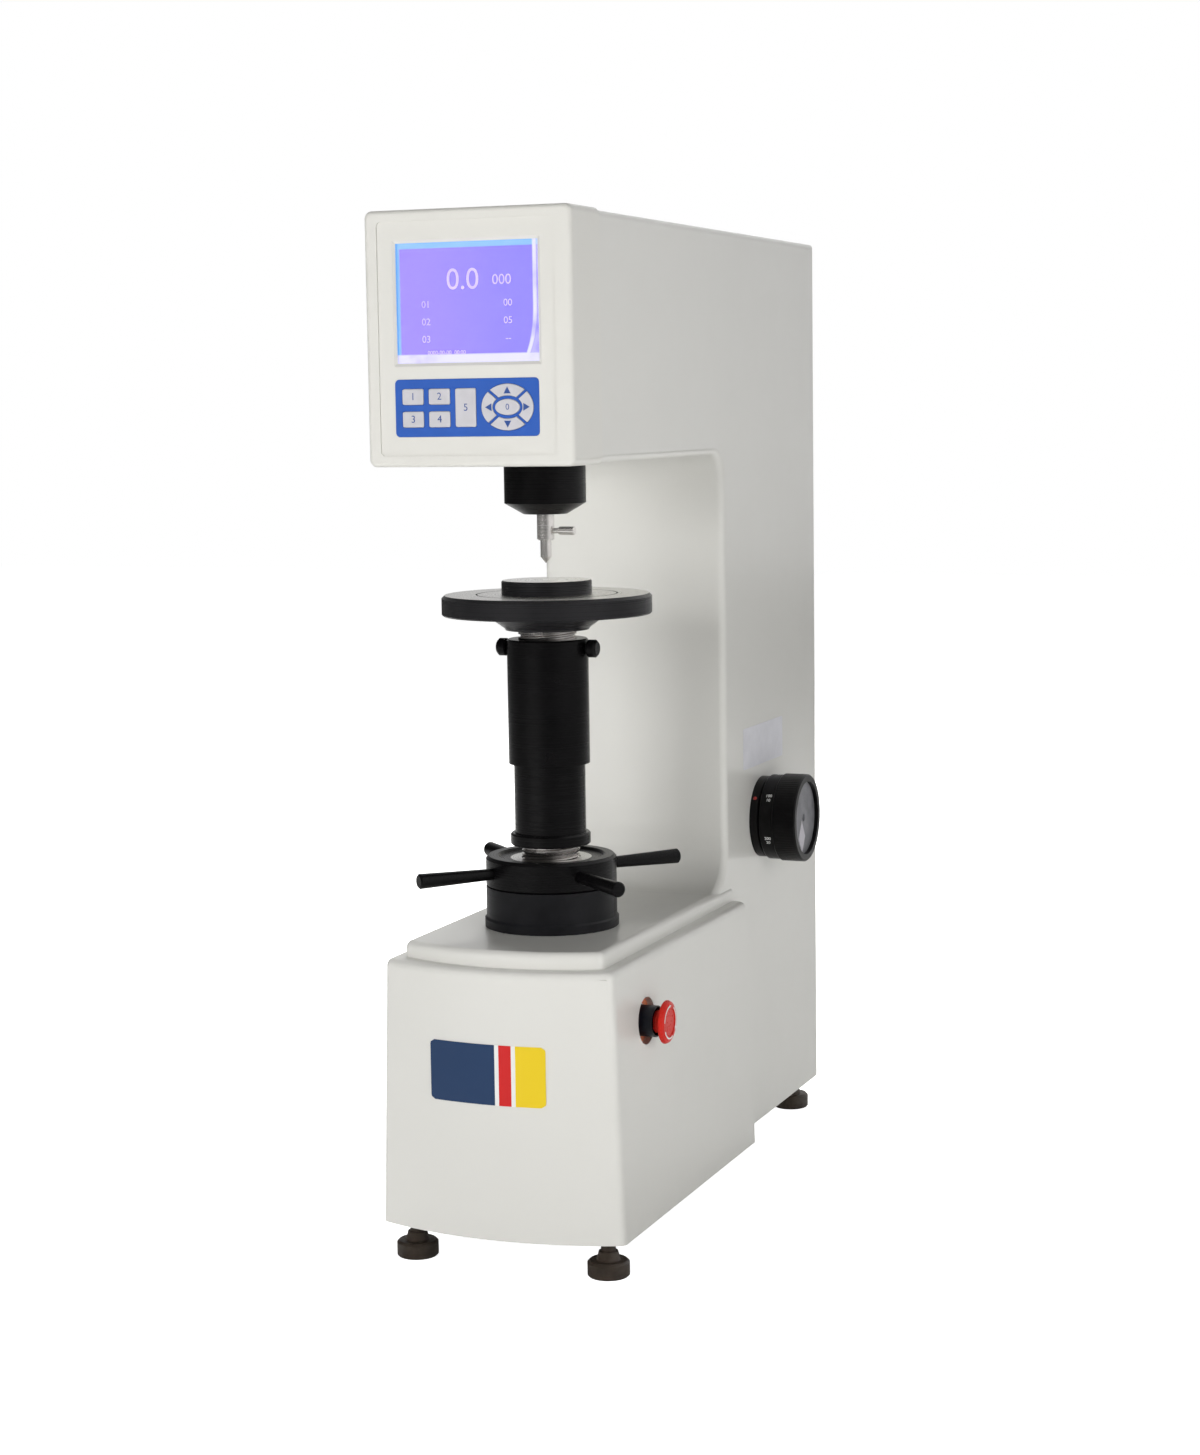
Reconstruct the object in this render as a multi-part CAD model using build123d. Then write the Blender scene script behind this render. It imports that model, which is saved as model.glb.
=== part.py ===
from build123d import *
import math
import os

# Bench hardness tester with a motor-driven lever, a digital head and a hand-raised test table.
# All sizes are in millimetres. The parts are drawn about the test axis (X = 0, Y = 0) with the bench
# at Z = 0 and the operator on the -Y side, and are moved at export so that the row's origin is the
# centre of the machine's footprint at bench level.

# ---------------------------------------------------------------- clearances
RUNNING_FIT = 0.05        # radial clearance of a shaft or screw in its bearing
FREE_GAP = 0.3            # gap between neighbours that move past each other
SEAT_GAP = 0.1            # radial clearance of a shank that only locates
KEY_GAP = 0.25            # gap round each key in its opening

# ---------------------------------------------------------------- feet
FOOT_PAD_RADIUS = 14.2
FOOT_PAD_HEIGHT = 11.0
FOOT_NUT_RADIUS = 8.0
FOOT_NUT_HEIGHT = 6.0
FOOT_CHAMFER = 1.5
FOOT_STEM_RADIUS = 5.0
FOOT_STEM_INSERT = 16.0   # how far the stem is screwed into the casting
FRONT_FOOT_X = 70.0
FRONT_FOOT_Y = -80.0
REAR_FOOT_X = 50.0
REAR_FOOT_Y = 382.0

# ---------------------------------------------------------------- frame casting
GROUND_CLEARANCE = 26.0   # bench to the underside of the casting
BLOCK_HEIGHT = 182.0      # base block, underside to shoulder
BLOCK_HALF_BOTTOM = 88.0
BLOCK_HALF_TOP = 82.0
BLOCK_CORNER_Y = -95.0    # front corners of the block
BLOCK_BOW = 17.0          # how far the front face bulges forward of its corners
BLOCK_REAR_Y = 175.0
BLOCK_CORNER_RADIUS = 5.5
BLOCK_EDGE_RADIUS = 5.0
BLOCK_WALL = 12.0
DECK_RISE = 11.0          # raised deck above the shoulder
DECK_INSET = 10.0         # shoulder width round the deck
DECK_THICKNESS = 20.0
DECK_EDGE_RADIUS = 5.0
BODY_HALF = 70.7          # half the width of column and head
BODY_WALL = 8.0
BODY_FLOOR = 12.0
BODY_EDGE_RADIUS = 5.0
THROAT_Y = 165.6          # front wall of the column
THROAT_TOP_RADIUS = 18.0
THROAT_FLARE_RADIUS = 28.0
REAR_Y = 392.0
THROAT_HEIGHT = 319.0     # deck to the underside of the head
HEAD_HEIGHT = 161.0
HEAD_FRONT_Y = -122.5     # front plane of the bezel
BEZEL_DEPTH = 47.5
BOSS_RADIUS = 13.0
BOSS_HEIGHT = 28.0

# ---------------------------------------------------------------- covers
COVER_THICKNESS = 3.0
COVER_LAND = 10.0         # width of the ledge that a cover rests on
COVER_GAP = 0.4
TOP_OPENING_FRONT = -30.0
TOP_OPENING_REAR = 350.0
REAR_OPENING_LIFT = 32.0  # above the casting's floor
REAR_OPENING_DROP = 49.0  # below the top of the head
OPENING_HALF = 50.0
SCREW_HEAD_RADIUS = 3.6
SCREW_HEAD_HEIGHT = 1.6
SCREW_SHANK_RADIUS = 2.0
SCREW_LENGTH = 9.0
SCREW_INSET = 20.0        # outer screws from the ends of a cover's opening

# ---------------------------------------------------------------- bezel, display and keypad
BEZEL_PROUD = 1.2         # bezel stands out round the casting
BEZEL_WALL = 4.0
BEZEL_CORNER_RADIUS = 5.0
BEZEL_FRONT_RADIUS = 3.0
PANEL_RECESS = 0.8
PANEL_X = -1.4
PANEL_SIDE_MARGIN = 10.3  # side of the bezel to the panel
PANEL_TOP_MARGIN = 7.4
PANEL_BOTTOM_MARGIN = 7.2
PANEL_CORNER_RADIUS = 3.0
WINDOW_X = -1.2
WINDOW_SIDE_MARGIN = 12.3    # side of the panel to the clear opening
WINDOW_TOP_MARGIN = 13.8
WINDOW_SPACING = 10.1     # keypad to the clear opening
WINDOW_BEVEL = 2.0        # sloping edge round the clear opening
WINDOW_LAP = 4.0          # how far the pane laps behind its opening
PANE_THICKNESS = 2.0
LCD_THICKNESS = 9.0
LCD_MARGIN = 5.0
LCD_GLASS_STEP = 1.0
KEYPAD_X = -2.0
KEYPAD_LIFT = 12.0        # keypad above the lower edge of the panel
KEYPAD_HEIGHT = 36.9
KEYPAD_CORNER_RADIUS = 3.0
KEYPAD_THICKNESS = 1.6
KEYPAD_RECESS = 1.4
KEY_THICKNESS = 1.4
KEY_PROUD = 0.3
KEY_TRAVEL = KEY_PROUD + 0.05
KEY_WIDTH = 14.7
KEY_HEIGHT = 9.8
KEY_SPACING = 3.9         # between neighbours across the keypad
KEY_PITCH_Z = 14.4
KEY_CORNER_RADIUS = 1.0
KEYPAD_LEFT_MARGIN = 5.3
KEYPAD_RIGHT_MARGIN = 4.0
TALL_KEY_WIDTH = 14.2
PAD_HALF_WIDTH = 17.9
PAD_HALF_HEIGHT = 14.6
PAD_HOLE_HALF_WIDTH = 10.4
PAD_HOLE_HALF_HEIGHT = 7.4
PAD_SLOT = 1.9            # diagonal gap between two sectors
OK_HALF_WIDTH = 8.5
OK_HALF_HEIGHT = 5.0
BOARD_SIDE_MARGIN = 5.0   # inside of the bezel to the edge of the board
BOARD_END_MARGIN = 16.0
BOARD_THICKNESS = 1.6
BOARD_SPACING = 20.0      # inside of the bezel's front wall to the board
BOARD_POST_RADIUS = 3.5
# across, up, width, height, depth of each component, as shares of the board's half width and half height
# and in millimetres of depth
BOARD_COMPONENTS = ((-0.48, 0.48, 0.41, 0.42, 3.0), (0.32, 0.56, 0.63, 0.16, 9.0),
                    (0.40, -0.08, 0.29, 0.29, 3.0), (-0.32, -0.56, 0.54, 0.23, 9.0))

# ---------------------------------------------------------------- spindle and indenter
TIP_DROP = 69.3           # head to the lowest point of the indenter
INDENTER_CONE = 3.2
INDENTER_TIP_RADIUS = 0.8
INDENTER_RADIUS = 3.8
INDENTER_LENGTH = 12.3    # shoulder to chuck
INDENTER_SHANK_RADIUS = 3.0
INDENTER_SHANK = 14.0
CHUCK_RADIUS = 5.9
CHUCK_LENGTH = 38.0
CHUCK_CHAMFER = 0.6
SPINDLE_RADIUS = 8.0
SPINDLE_RISE = 68.0       # head floor to the top of the spindle
SPINDLE_POINT_HEIGHT = 4.0   # rounded point that the lever bears on
SPINDLE_POINT_RADIUS = 1.2
SPINDLE_TRAVEL = 1.2
NOSE_RADIUS = 27.85
NOSE_LENGTH = 36.0
NOSE_TAPER = 7.5
NOSE_TIP_RADIUS = 15.0
NOSE_BORE_RADIUS = 9.0
GUIDE_RADIUS = 14.0
GUIDE_FLANGE_RADIUS = 17.0
GUIDE_FLANGE = 5.0
GUIDE_LENGTH = 44.0       # above the head floor
THUMB_RISE = 6.3          # above the end of the chuck
THUMB_NECK_RADIUS = 1.9
THUMB_NECK = 4.0
THUMB_HEAD_RADIUS = 2.9
THUMB_HEAD = 11.5
THUMB_THREAD_RADIUS = 1.5
SENSOR_ARM_RISE = 51.0    # above the head floor
SENSOR_ARM_HEIGHT = 6.0
SENSOR_PLUNGER_RADIUS = 2.5
SENSOR_PLUNGER = 10.0
SENSOR_X = -44.0
SENSOR_WIDTH = 18.0
SENSOR_DEPTH = 20.0

# ---------------------------------------------------------------- lever, hanger and weights
LEVER_SHORT_ARM = 13.0    # pivot to test axis
LEVER_RATIO = 25.0
LEVER_WIDTH = 24.0
LEVER_HEIGHT = 30.0
LEVER_TIP_WIDTH = 14.0
LEVER_TIP_HEIGHT = 20.0
LEVER_SEAT_GAP = 0.3
PIVOT_RADIUS = 5.0
PIVOT_CHEEK = 8.0
PIVOT_CHEEK_GAP = 6.0     # side of the lever to the cheek
PIVOT_COLLAR = 2.5        # collar stands out round the pin
PIVOT_CHEEK_DEPTH = 28.0
PIVOT_BASE_HEIGHT = 8.0
PIVOT_BASE_REACH = 14.0   # foot plate in front of the cheeks
HANGER_STRAP = 4.0
HANGER_BAR = 8.0
HANGER_SEAT_GAP = 0.8
HANGER_SIDE_GAP = 1.2
HANGER_DROP = 8.0         # free height under the lever inside the stirrup
HANGER_ROD_RADIUS = 5.0
HANGER_FOOT_RADIUS = 18.0
HANGER_FOOT_HEIGHT = 9.0
HANGER_REST_GAP = 0.5     # cam's high point to the foot
WEIGHT_RADIUS = 46.0
WEIGHT_LIP = 6.0
LOWER_WEIGHT_HEIGHT = 36.0
MIDDLE_WEIGHT_HEIGHT = 29.0
UPPER_WEIGHT_HEIGHT = 36.0

# ---------------------------------------------------------------- load motor and cam
CAM_RISE = 33.0           # shaft above the casting's floor
CAM_RADIUS = 16.0
CAM_OFFSET = 6.5
CAM_WIDTH = 14.0
CAM_SHAFT_RADIUS = 5.0
CAM_SHAFT_INSERT = 6.0    # shaft inside the gearbox
CAM_SHAFT_END = 3.0       # shaft beyond the cam
GEARBOX_WIDTH = 34.0
GEARBOX_DEPTH = 52.0
GEARBOX_GAP = 12.0        # gearbox face to the middle of the cam
MOTOR_RADIUS = 19.0
MOTOR_LENGTH = 68.0

# ---------------------------------------------------------------- force selector
DIAL_Y = 250.0
DIAL_RISE = 42.0          # above the deck
INDEX_RADIUS = 30.8
INDEX_WIDTH = 7.1
INDEX_CHAMFER = 1.5
DIAL_GAP = 0.6
SCALE_RADIUS = 32.2
SCALE_WIDTH = 10.2
SCALE_CHAMFER = 2.2
GRIP_RADIUS = 33.2
GRIP_WIDTH = 18.4
GRIP_RIM = 5.5
FACE_RECESS = 3.0
CAP_THICKNESS = 2.0
CAP_HOLE_RADIUS = 3.0
SELECTOR_RADIUS = 8.0
SELECTOR_BUSH_RADIUS = 12.0
SELECTOR_CAM_RADIUS = 13.0
SELECTOR_CAM_OFFSET = 4.0
SELECTOR_CAM_WIDTH = 12.0
SELECTOR_END_X = 6.0

# ---------------------------------------------------------------- elevating screw, nut and handwheel
SCREW_RADIUS = 20.0
SCREW_PITCH = 6.0
DAYLIGHT = 11.6           # anvil to indenter with nothing on the anvil
SCREW_BORE_DEPTH = 28.0
SCREW_LIFT = 86.0         # foot of the screw above the underside of the casting
SCREW_CHAMFER = 1.0
KEYWAY_WIDTH = 6.0
KEYWAY_DEPTH = 3.0
KEYWAY_STOP = 40.0        # the keyway ends this far below the top
TRAVEL_UP = DAYLIGHT - 0.6
TRAVEL_DOWN = 41.0
HOUSING_RADIUS = 45.1
HOUSING_HEIGHT = 28.0
HOUSING_FLANGE_RADIUS = 46.3
HOUSING_FLANGE = 7.0
SPIGOT_RADIUS = 34.0
SPIGOT_LENGTH = 62.0
SPIGOT_END = 20.0         # length of the screw guide at the spigot's foot
NUT_RADIUS = 28.0
NUT_FLANGE_RADIUS = 36.0
NUT_FLANGE = 7.0
BEARING_HEIGHT = 6.0
BEARING_DEPTH = 17.0      # housing top down to the bearing's seat
WHEEL_HEIGHT = 20.7
WHEEL_DISH_RADIUS = 37.0
WHEEL_DISH = 2.0
WHEEL_CHAMFER = 2.0
ROD_COUNT = 4
ROD_ANGLE = 49.0
ROD_REACH = 100.0
ROD_ROOT_RADIUS = 3.9
ROD_TIP_RADIUS = 5.2
ROD_SOCKET = 8.0

# ---------------------------------------------------------------- sleeves, table and anvil
LOWER_SLEEVE_LIFT = 7.2   # collar above the handwheel at rest
LOWER_SLEEVE_RADIUS = 24.5
LOWER_SLEEVE_HEIGHT = 80.0
LOWER_SLEEVE_WALL = 2.5
COLLAR_RADIUS = 27.6
COLLAR_HEIGHT = 8.3
UPPER_SLEEVE_RADIUS = 27.9
UPPER_SLEEVE_HEIGHT = 85.6
UPPER_SLEEVE_CAP = 12.0
UPPER_SLEEVE_DROP = 6.1   # top of the sleeve below the top of the screw
SLEEVE_DROP = LOWER_SLEEVE_LIFT - 0.4   # free travel of the lower sleeve
SLEEVE_RISE = 6.0
SLEEVE_SCREW_ANGLE = 0.0
SLEEVE_SCREW_DROP = 6.5
SLEEVE_SCREW_NECK = 1.4
SLEEVE_SCREW_NECK_RADIUS = 3.6
SLEEVE_SCREW_HEAD = 7.2
SLEEVE_SCREW_HEAD_RADIUS = 6.1
SLEEVE_SCREW_THREAD_RADIUS = 2.5
TABLE_RADIUS = 71.9
TABLE_THICKNESS = 14.0
TABLE_HUB_HEIGHT = 10.4
TABLE_HUB_RADIUS = 28.5
TABLE_HUB_TOP_RADIUS = 42.0
TABLE_GROOVE_RADIUS = 48.1
TABLE_GROOVE = 1.2
TABLE_CHAMFER = 2.0
ANVIL_RADIUS = 30.9
ANVIL_THICKNESS = 9.5
ANVIL_CHAMFER = 0.8
ANVIL_SHANK_RADIUS = 8.0
ANVIL_SHANK = 22.0        # into the screw

# ---------------------------------------------------------------- stop button
STOP_Y = -38.0
STOP_DROP = 43.5          # below the shoulder
STOP_POCKET_RADIUS = 16.0
STOP_POCKET_DEPTH = 5.0
STOP_BARREL_RADIUS = 10.6
STOP_BARREL_WALL = 0.9
STOP_BARREL_REACH = 7.6   # barrel outside the casting
STOP_BLOCK = 26.0
STOP_BLOCK_DEPTH = 28.0
STOP_HEAD_RADIUS = 14.6
STOP_HEAD_DEPTH = 9.2     # barrel to the front of the head
STOP_NECK_RADIUS = 7.6
STOP_NECK_INSERT = 0.5    # neck inside the barrel at rest
STOP_FLARE_RADIUS = 9.3   # neck where it turns out under the head
STOP_FACE_RADIUS = 12.0
STOP_BUTTON_RADIUS = 9.6
STOP_BUTTON_RECESS = 0.5
STOP_FACE_THICKNESS = 2.0
STOP_STEM_RADIUS = 5.0
STOP_TRAVEL = 4.0

# ---------------------------------------------------------------- power inlet
INLET_LIFT = 86.0         # above the underside of the casting
INLET_WIDTH = 48.0
INLET_HEIGHT = 28.0
INLET_FLANGE = 4.0
INLET_PROUD = 2.0
INLET_DEPTH = 30.0
SOCKET_X = -9.0
SOCKET_WIDTH = 24.0
SOCKET_HEIGHT = 17.0
SOCKET_DEPTH = 17.0
SOCKET_PIN = 12.0
SOCKET_PINS = ((-7.0, -1.5), (0.0, 2.0), (7.0, -1.5))
PIN_HALF_WIDTH = 1.0
PIN_HALF_HEIGHT = 2.0
ROCKER_X = 15.0
ROCKER_WIDTH = 11.0
ROCKER_HEIGHT = 19.0
ROCKER_TILT = 9.0
ROCKER_WELL = 12.0        # depth of the opening behind the rocker

# ---------------------------------------------------------------- places that follow from the sizes
BLOCK_BOTTOM = GROUND_CLEARANCE
BLOCK_TOP = BLOCK_BOTTOM + BLOCK_HEIGHT
DECK_Z = BLOCK_TOP + DECK_RISE
HEAD_BOTTOM = DECK_Z + THROAT_HEIGHT
HEAD_TOP = HEAD_BOTTOM + HEAD_HEIGHT
CAVITY_HALF = BODY_HALF - BODY_WALL
FLOOR_Z = BLOCK_BOTTOM + BODY_FLOOR
HEAD_FLOOR_Z = HEAD_BOTTOM + BODY_WALL
REAR_OPENING_BOTTOM = FLOOR_Z + REAR_OPENING_LIFT
REAR_OPENING_TOP = HEAD_TOP - REAR_OPENING_DROP
BEZEL_BACK_Y = HEAD_FRONT_Y + BEZEL_DEPTH
BEZEL_HALF = BODY_HALF + BEZEL_PROUD
BEZEL_BOTTOM = HEAD_BOTTOM - BEZEL_PROUD
BEZEL_TOP = HEAD_TOP + BEZEL_PROUD
PANEL_Y = HEAD_FRONT_Y + PANEL_RECESS
PANEL_HALF = BEZEL_HALF - PANEL_SIDE_MARGIN
PANEL_BOTTOM = BEZEL_BOTTOM + PANEL_BOTTOM_MARGIN
PANEL_TOP = BEZEL_TOP - PANEL_TOP_MARGIN
KEYPAD_WIDTH = (KEYPAD_LEFT_MARGIN + 2 * (KEY_WIDTH + KEY_SPACING) + TALL_KEY_WIDTH + KEY_SPACING
                + 2 * PAD_HALF_WIDTH + KEYPAD_RIGHT_MARGIN)
KEYPAD_Z = PANEL_BOTTOM + KEYPAD_LIFT + KEYPAD_HEIGHT / 2
FIRST_KEY_X = KEYPAD_X - KEYPAD_WIDTH / 2 + KEYPAD_LEFT_MARGIN + KEY_WIDTH / 2
TALL_KEY_X = FIRST_KEY_X + 2 * (KEY_WIDTH + KEY_SPACING) + (TALL_KEY_WIDTH - KEY_WIDTH) / 2
PAD_X = TALL_KEY_X + TALL_KEY_WIDTH / 2 + KEY_SPACING + PAD_HALF_WIDTH
WINDOW_WIDTH = 2 * (PANEL_HALF - WINDOW_SIDE_MARGIN)
WINDOW_BOTTOM = KEYPAD_Z + KEYPAD_HEIGHT / 2 + WINDOW_SPACING
WINDOW_HEIGHT = PANEL_TOP - WINDOW_TOP_MARGIN - WINDOW_BOTTOM
WINDOW_Z = WINDOW_BOTTOM + WINDOW_HEIGHT / 2
PANE_Y = HEAD_FRONT_Y + BEZEL_WALL - PANE_THICKNESS
BOARD_Z = (HEAD_BOTTOM + HEAD_TOP) / 2
BOARD_FRONT_Y = HEAD_FRONT_Y + BEZEL_WALL + BOARD_SPACING
BOARD_HALF_WIDTH = BEZEL_HALF - BEZEL_WALL - BOARD_SIDE_MARGIN
BOARD_HALF_HEIGHT = HEAD_HEIGHT / 2 + BEZEL_PROUD - BEZEL_WALL - BOARD_END_MARGIN
BOARD_HOLE_X = BOARD_HALF_WIDTH - BOARD_POST_RADIUS
BOARD_HOLE_Z = BOARD_HALF_HEIGHT - BOARD_POST_RADIUS
HOUSING_TOP = DECK_Z + HOUSING_HEIGHT
WHEEL_BOTTOM = HOUSING_TOP + FREE_GAP
WHEEL_TOP = WHEEL_BOTTOM + WHEEL_HEIGHT
ROD_Z = WHEEL_BOTTOM + WHEEL_HEIGHT / 2
BEARING_Z = HOUSING_TOP - BEARING_DEPTH
NUT_TOP = WHEEL_TOP - WHEEL_DISH
TIP_Z = HEAD_BOTTOM - TIP_DROP
ANVIL_TOP = TIP_Z - DAYLIGHT
TABLE_TOP = ANVIL_TOP - ANVIL_THICKNESS
TABLE_Z = TABLE_TOP - TABLE_THICKNESS
SCREW_TOP = TABLE_Z - TABLE_HUB_HEIGHT
SCREW_BOTTOM = BLOCK_BOTTOM + SCREW_LIFT
LOWER_SLEEVE_Z = WHEEL_TOP + LOWER_SLEEVE_LIFT
UPPER_SLEEVE_TOP = SCREW_TOP - UPPER_SLEEVE_DROP
UPPER_SLEEVE_Z = UPPER_SLEEVE_TOP - UPPER_SLEEVE_HEIGHT
CHUCK_BOTTOM = TIP_Z + INDENTER_CONE + INDENTER_LENGTH
CHUCK_TOP = CHUCK_BOTTOM + CHUCK_LENGTH
THUMB_Z = CHUCK_BOTTOM + THUMB_RISE
SPINDLE_TOP = HEAD_FLOOR_Z + SPINDLE_RISE
SENSOR_ARM_Z = HEAD_FLOOR_Z + SENSOR_ARM_RISE
SENSOR_Y = SPINDLE_RADIUS / 2 + SENSOR_DEPTH / 4
LEVER_BOTTOM = SPINDLE_TOP + LEVER_SEAT_GAP
LEVER_Z = LEVER_BOTTOM + LEVER_HEIGHT / 2
PIVOT_Y = -LEVER_SHORT_ARM
CHEEK_INNER_X = LEVER_WIDTH / 2 + PIVOT_CHEEK_GAP
CHEEK_OUTER_X = CHEEK_INNER_X + PIVOT_CHEEK
HANGER_Y = PIVOT_Y + LEVER_SHORT_ARM * LEVER_RATIO
HANGER_TRAVEL = SPINDLE_TRAVEL * LEVER_RATIO
LEVER_END_Y = HANGER_Y + 2 * HANGER_BAR
STIRRUP_BOTTOM = LEVER_Z - LEVER_TIP_HEIGHT / 2 - HANGER_DROP - HANGER_BAR
CAM_Z = FLOOR_Z + CAM_RISE
HANGER_FOOT_Z = CAM_Z + CAM_OFFSET + CAM_RADIUS + HANGER_REST_GAP
WEIGHT_Z = HANGER_FOOT_Z + HANGER_FOOT_HEIGHT
DIAL_Z = DECK_Z + DIAL_RISE
DIAL_X = BODY_HALF + INDEX_WIDTH + DIAL_GAP
GRIP_X = DIAL_X + SCALE_WIDTH
DIAL_END_X = GRIP_X + GRIP_WIDTH
DIAL_FLOOR_X = DIAL_END_X - FACE_RECESS - CAP_THICKNESS
STOP_Z = BLOCK_TOP - STOP_DROP
BLOCK_SLOPE = (BLOCK_HALF_BOTTOM - BLOCK_HALF_TOP) / BLOCK_HEIGHT
STOP_FACE_X = BLOCK_HALF_BOTTOM - BLOCK_SLOPE * (STOP_Z - BLOCK_BOTTOM)
STOP_BARREL_X = STOP_FACE_X + STOP_BARREL_REACH
STOP_FRONT_X = STOP_BARREL_X + STOP_HEAD_DEPTH
STOP_BORE_DEPTH = STOP_NECK_INSERT + STOP_TRAVEL + FREE_GAP
STOP_STEM_X = STOP_FRONT_X - STOP_FACE_THICKNESS
INLET_Z = BLOCK_BOTTOM + INLET_LIFT
FOOTPRINT_X = (DIAL_END_X - BLOCK_HALF_BOTTOM) / 2
FOOTPRINT_Y = (HEAD_FRONT_Y + REAR_Y + INLET_PROUD) / 2


# ---------------------------------------------------------------- drawing helpers
def span_box(x, y, z):
    """Box between two limits on each axis."""
    size = [high - low for low, high in (x, y, z)]
    centre = [(high + low) / 2 for low, high in (x, y, z)]
    return Pos(*centre) * Box(*size)


def turned(*profile):
    """Solid of revolution about Z from (radius, height) points."""
    outline = Polyline(*[(radius, 0, height) for radius, height in profile], close=True)
    return revolve(make_face(outline), Axis.Z)


def tube(outer, inner, bottom, top):
    """Plain ring about Z."""
    return turned((inner, bottom), (outer, bottom), (outer, top), (inner, top))


def rod(radius, bottom, top):
    """Plain round bar about Z."""
    return Pos(0, 0, (bottom + top) / 2) * Cylinder(radius, top - bottom)


def to_x(part, y=0, z=0):
    """Turn a part drawn along Z so that it points along +X, through (y, z)."""
    return Pos(0, y, z) * Rot(0, 90, 0) * part


def plate(outline, y, thickness):
    """Extrude an outline drawn in X and Z from its front plane y towards the back."""
    return extrude(Pos(0, y, 0) * Rot(90, 0, 0) * outline, thickness, dir=(0, 1, 0))


def edges_at(part, axis, **place):
    """Edges parallel to an axis whose middle lies at the given X, Y or Z."""
    found = part.edges().filter_by(axis)
    for name, value in place.items():
        found = found.filter_by(lambda edge: abs(getattr(edge.center(), name) - value) < 0.01)
    return found


# ---------------------------------------------------------------- frame
def bowed_outline(half_width, corner_y, height):
    """Plan outline of the base with its bowed front."""
    sides = Polyline((-half_width, corner_y), (-half_width, BLOCK_REAR_Y),
                     (half_width, BLOCK_REAR_Y), (half_width, corner_y))
    front = ThreePointArc((-half_width, corner_y), (0, corner_y - BLOCK_BOW), (half_width, corner_y))
    outline = Sketch() + make_face([*sides.edges(), front])
    corners = outline.vertices().filter_by(lambda vertex: abs(vertex.Y - corner_y) < 0.01)
    return Pos(0, 0, height) * fillet(corners, BLOCK_CORNER_RADIUS)


def base_block():
    """Tapered base with a raised deck."""
    block = loft([bowed_outline(BLOCK_HALF_BOTTOM, BLOCK_CORNER_Y, BLOCK_BOTTOM),
                  bowed_outline(BLOCK_HALF_TOP, BLOCK_CORNER_Y, BLOCK_TOP)])
    shoulder = block.faces().sort_by(Axis.Z)[-1].edges()
    block = fillet(shoulder.filter_by(lambda edge: edge.center().Y < BLOCK_REAR_Y - 1), BLOCK_EDGE_RADIUS)
    deck = bowed_outline(BLOCK_HALF_TOP - DECK_INSET, BLOCK_CORNER_Y + DECK_INSET, BLOCK_TOP - DECK_RISE)
    deck = extrude(deck, 2 * DECK_RISE)
    rim = deck.faces().sort_by(Axis.Z)[-1].edges()
    deck = fillet(rim.filter_by(lambda edge: edge.center().Y < BLOCK_REAR_Y - 1), DECK_EDGE_RADIUS)
    return block + deck


def c_body():
    """Column and head, open to the front like a C, with its throat rounded."""
    inside = THROAT_Y - 2 * THROAT_FLARE_RADIUS
    outline = Plane.YZ * Polyline(
        (BEZEL_BACK_Y, HEAD_BOTTOM), (THROAT_Y, HEAD_BOTTOM), (THROAT_Y, DECK_Z), (inside, DECK_Z),
        (inside, BLOCK_BOTTOM), (REAR_Y, BLOCK_BOTTOM), (REAR_Y, HEAD_TOP), (BEZEL_BACK_Y, HEAD_TOP),
        close=True)
    body = extrude(make_face(outline), BODY_HALF, both=True)
    body = fillet(edges_at(body, Axis.X, Y=THROAT_Y, Z=HEAD_BOTTOM), THROAT_TOP_RADIUS)
    body = fillet(edges_at(body, Axis.X, Y=THROAT_Y, Z=DECK_Z), THROAT_FLARE_RADIUS)
    outer = body.edges().filter_by(lambda edge: abs(abs(edge.center().X) - BODY_HALF) < 0.01)
    outer = outer.filter_by(lambda edge: edge.center().Y > BEZEL_BACK_Y + 1)
    outer = outer.filter_by(lambda edge: edge.center().Z > DECK_Z + 0.01)
    return fillet(outer, BODY_EDGE_RADIUS)


def frame_cavities():
    """Hollows of head, column and base, and the openings of the two covers."""
    head = span_box((-CAVITY_HALF, CAVITY_HALF), (BEZEL_BACK_Y, REAR_Y - BODY_WALL),
                    (HEAD_FLOOR_Z, HEAD_TOP - BODY_WALL))
    column = span_box((-CAVITY_HALF, CAVITY_HALF), (THROAT_Y + BODY_WALL, REAR_Y - BODY_WALL),
                      (FLOOR_Z, HEAD_FLOOR_Z))
    base_half = BLOCK_HALF_TOP - BLOCK_WALL
    base = span_box((-base_half, base_half), (BLOCK_CORNER_Y + BLOCK_WALL, THROAT_Y - BLOCK_WALL),
                    (BLOCK_BOTTOM, DECK_Z - DECK_THICKNESS))
    top_hole = span_box((-OPENING_HALF, OPENING_HALF), (TOP_OPENING_FRONT, TOP_OPENING_REAR),
                        (HEAD_TOP - BODY_WALL, HEAD_TOP))
    rear_hole = span_box((-OPENING_HALF, OPENING_HALF), (REAR_Y - BODY_WALL, REAR_Y),
                         (REAR_OPENING_BOTTOM, REAR_OPENING_TOP))
    return head + column + base + top_hole + rear_hole + top_plate(0) + rear_plate(0)


def top_plate(gap):
    """Blank of the top cover, or its recess when the gap is zero."""
    half = OPENING_HALF + COVER_LAND - gap
    depth = (TOP_OPENING_FRONT - COVER_LAND + gap, TOP_OPENING_REAR + COVER_LAND - gap)
    return span_box((-half, half), depth, (HEAD_TOP - COVER_THICKNESS, HEAD_TOP))


def rear_plate(gap):
    """Blank of the rear cover, or its recess when the gap is zero."""
    half = OPENING_HALF + COVER_LAND - gap
    return span_box((-half, half), (REAR_Y - COVER_THICKNESS, REAR_Y),
                    (REAR_OPENING_BOTTOM - COVER_LAND + gap, REAR_OPENING_TOP + COVER_LAND - gap))


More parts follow.
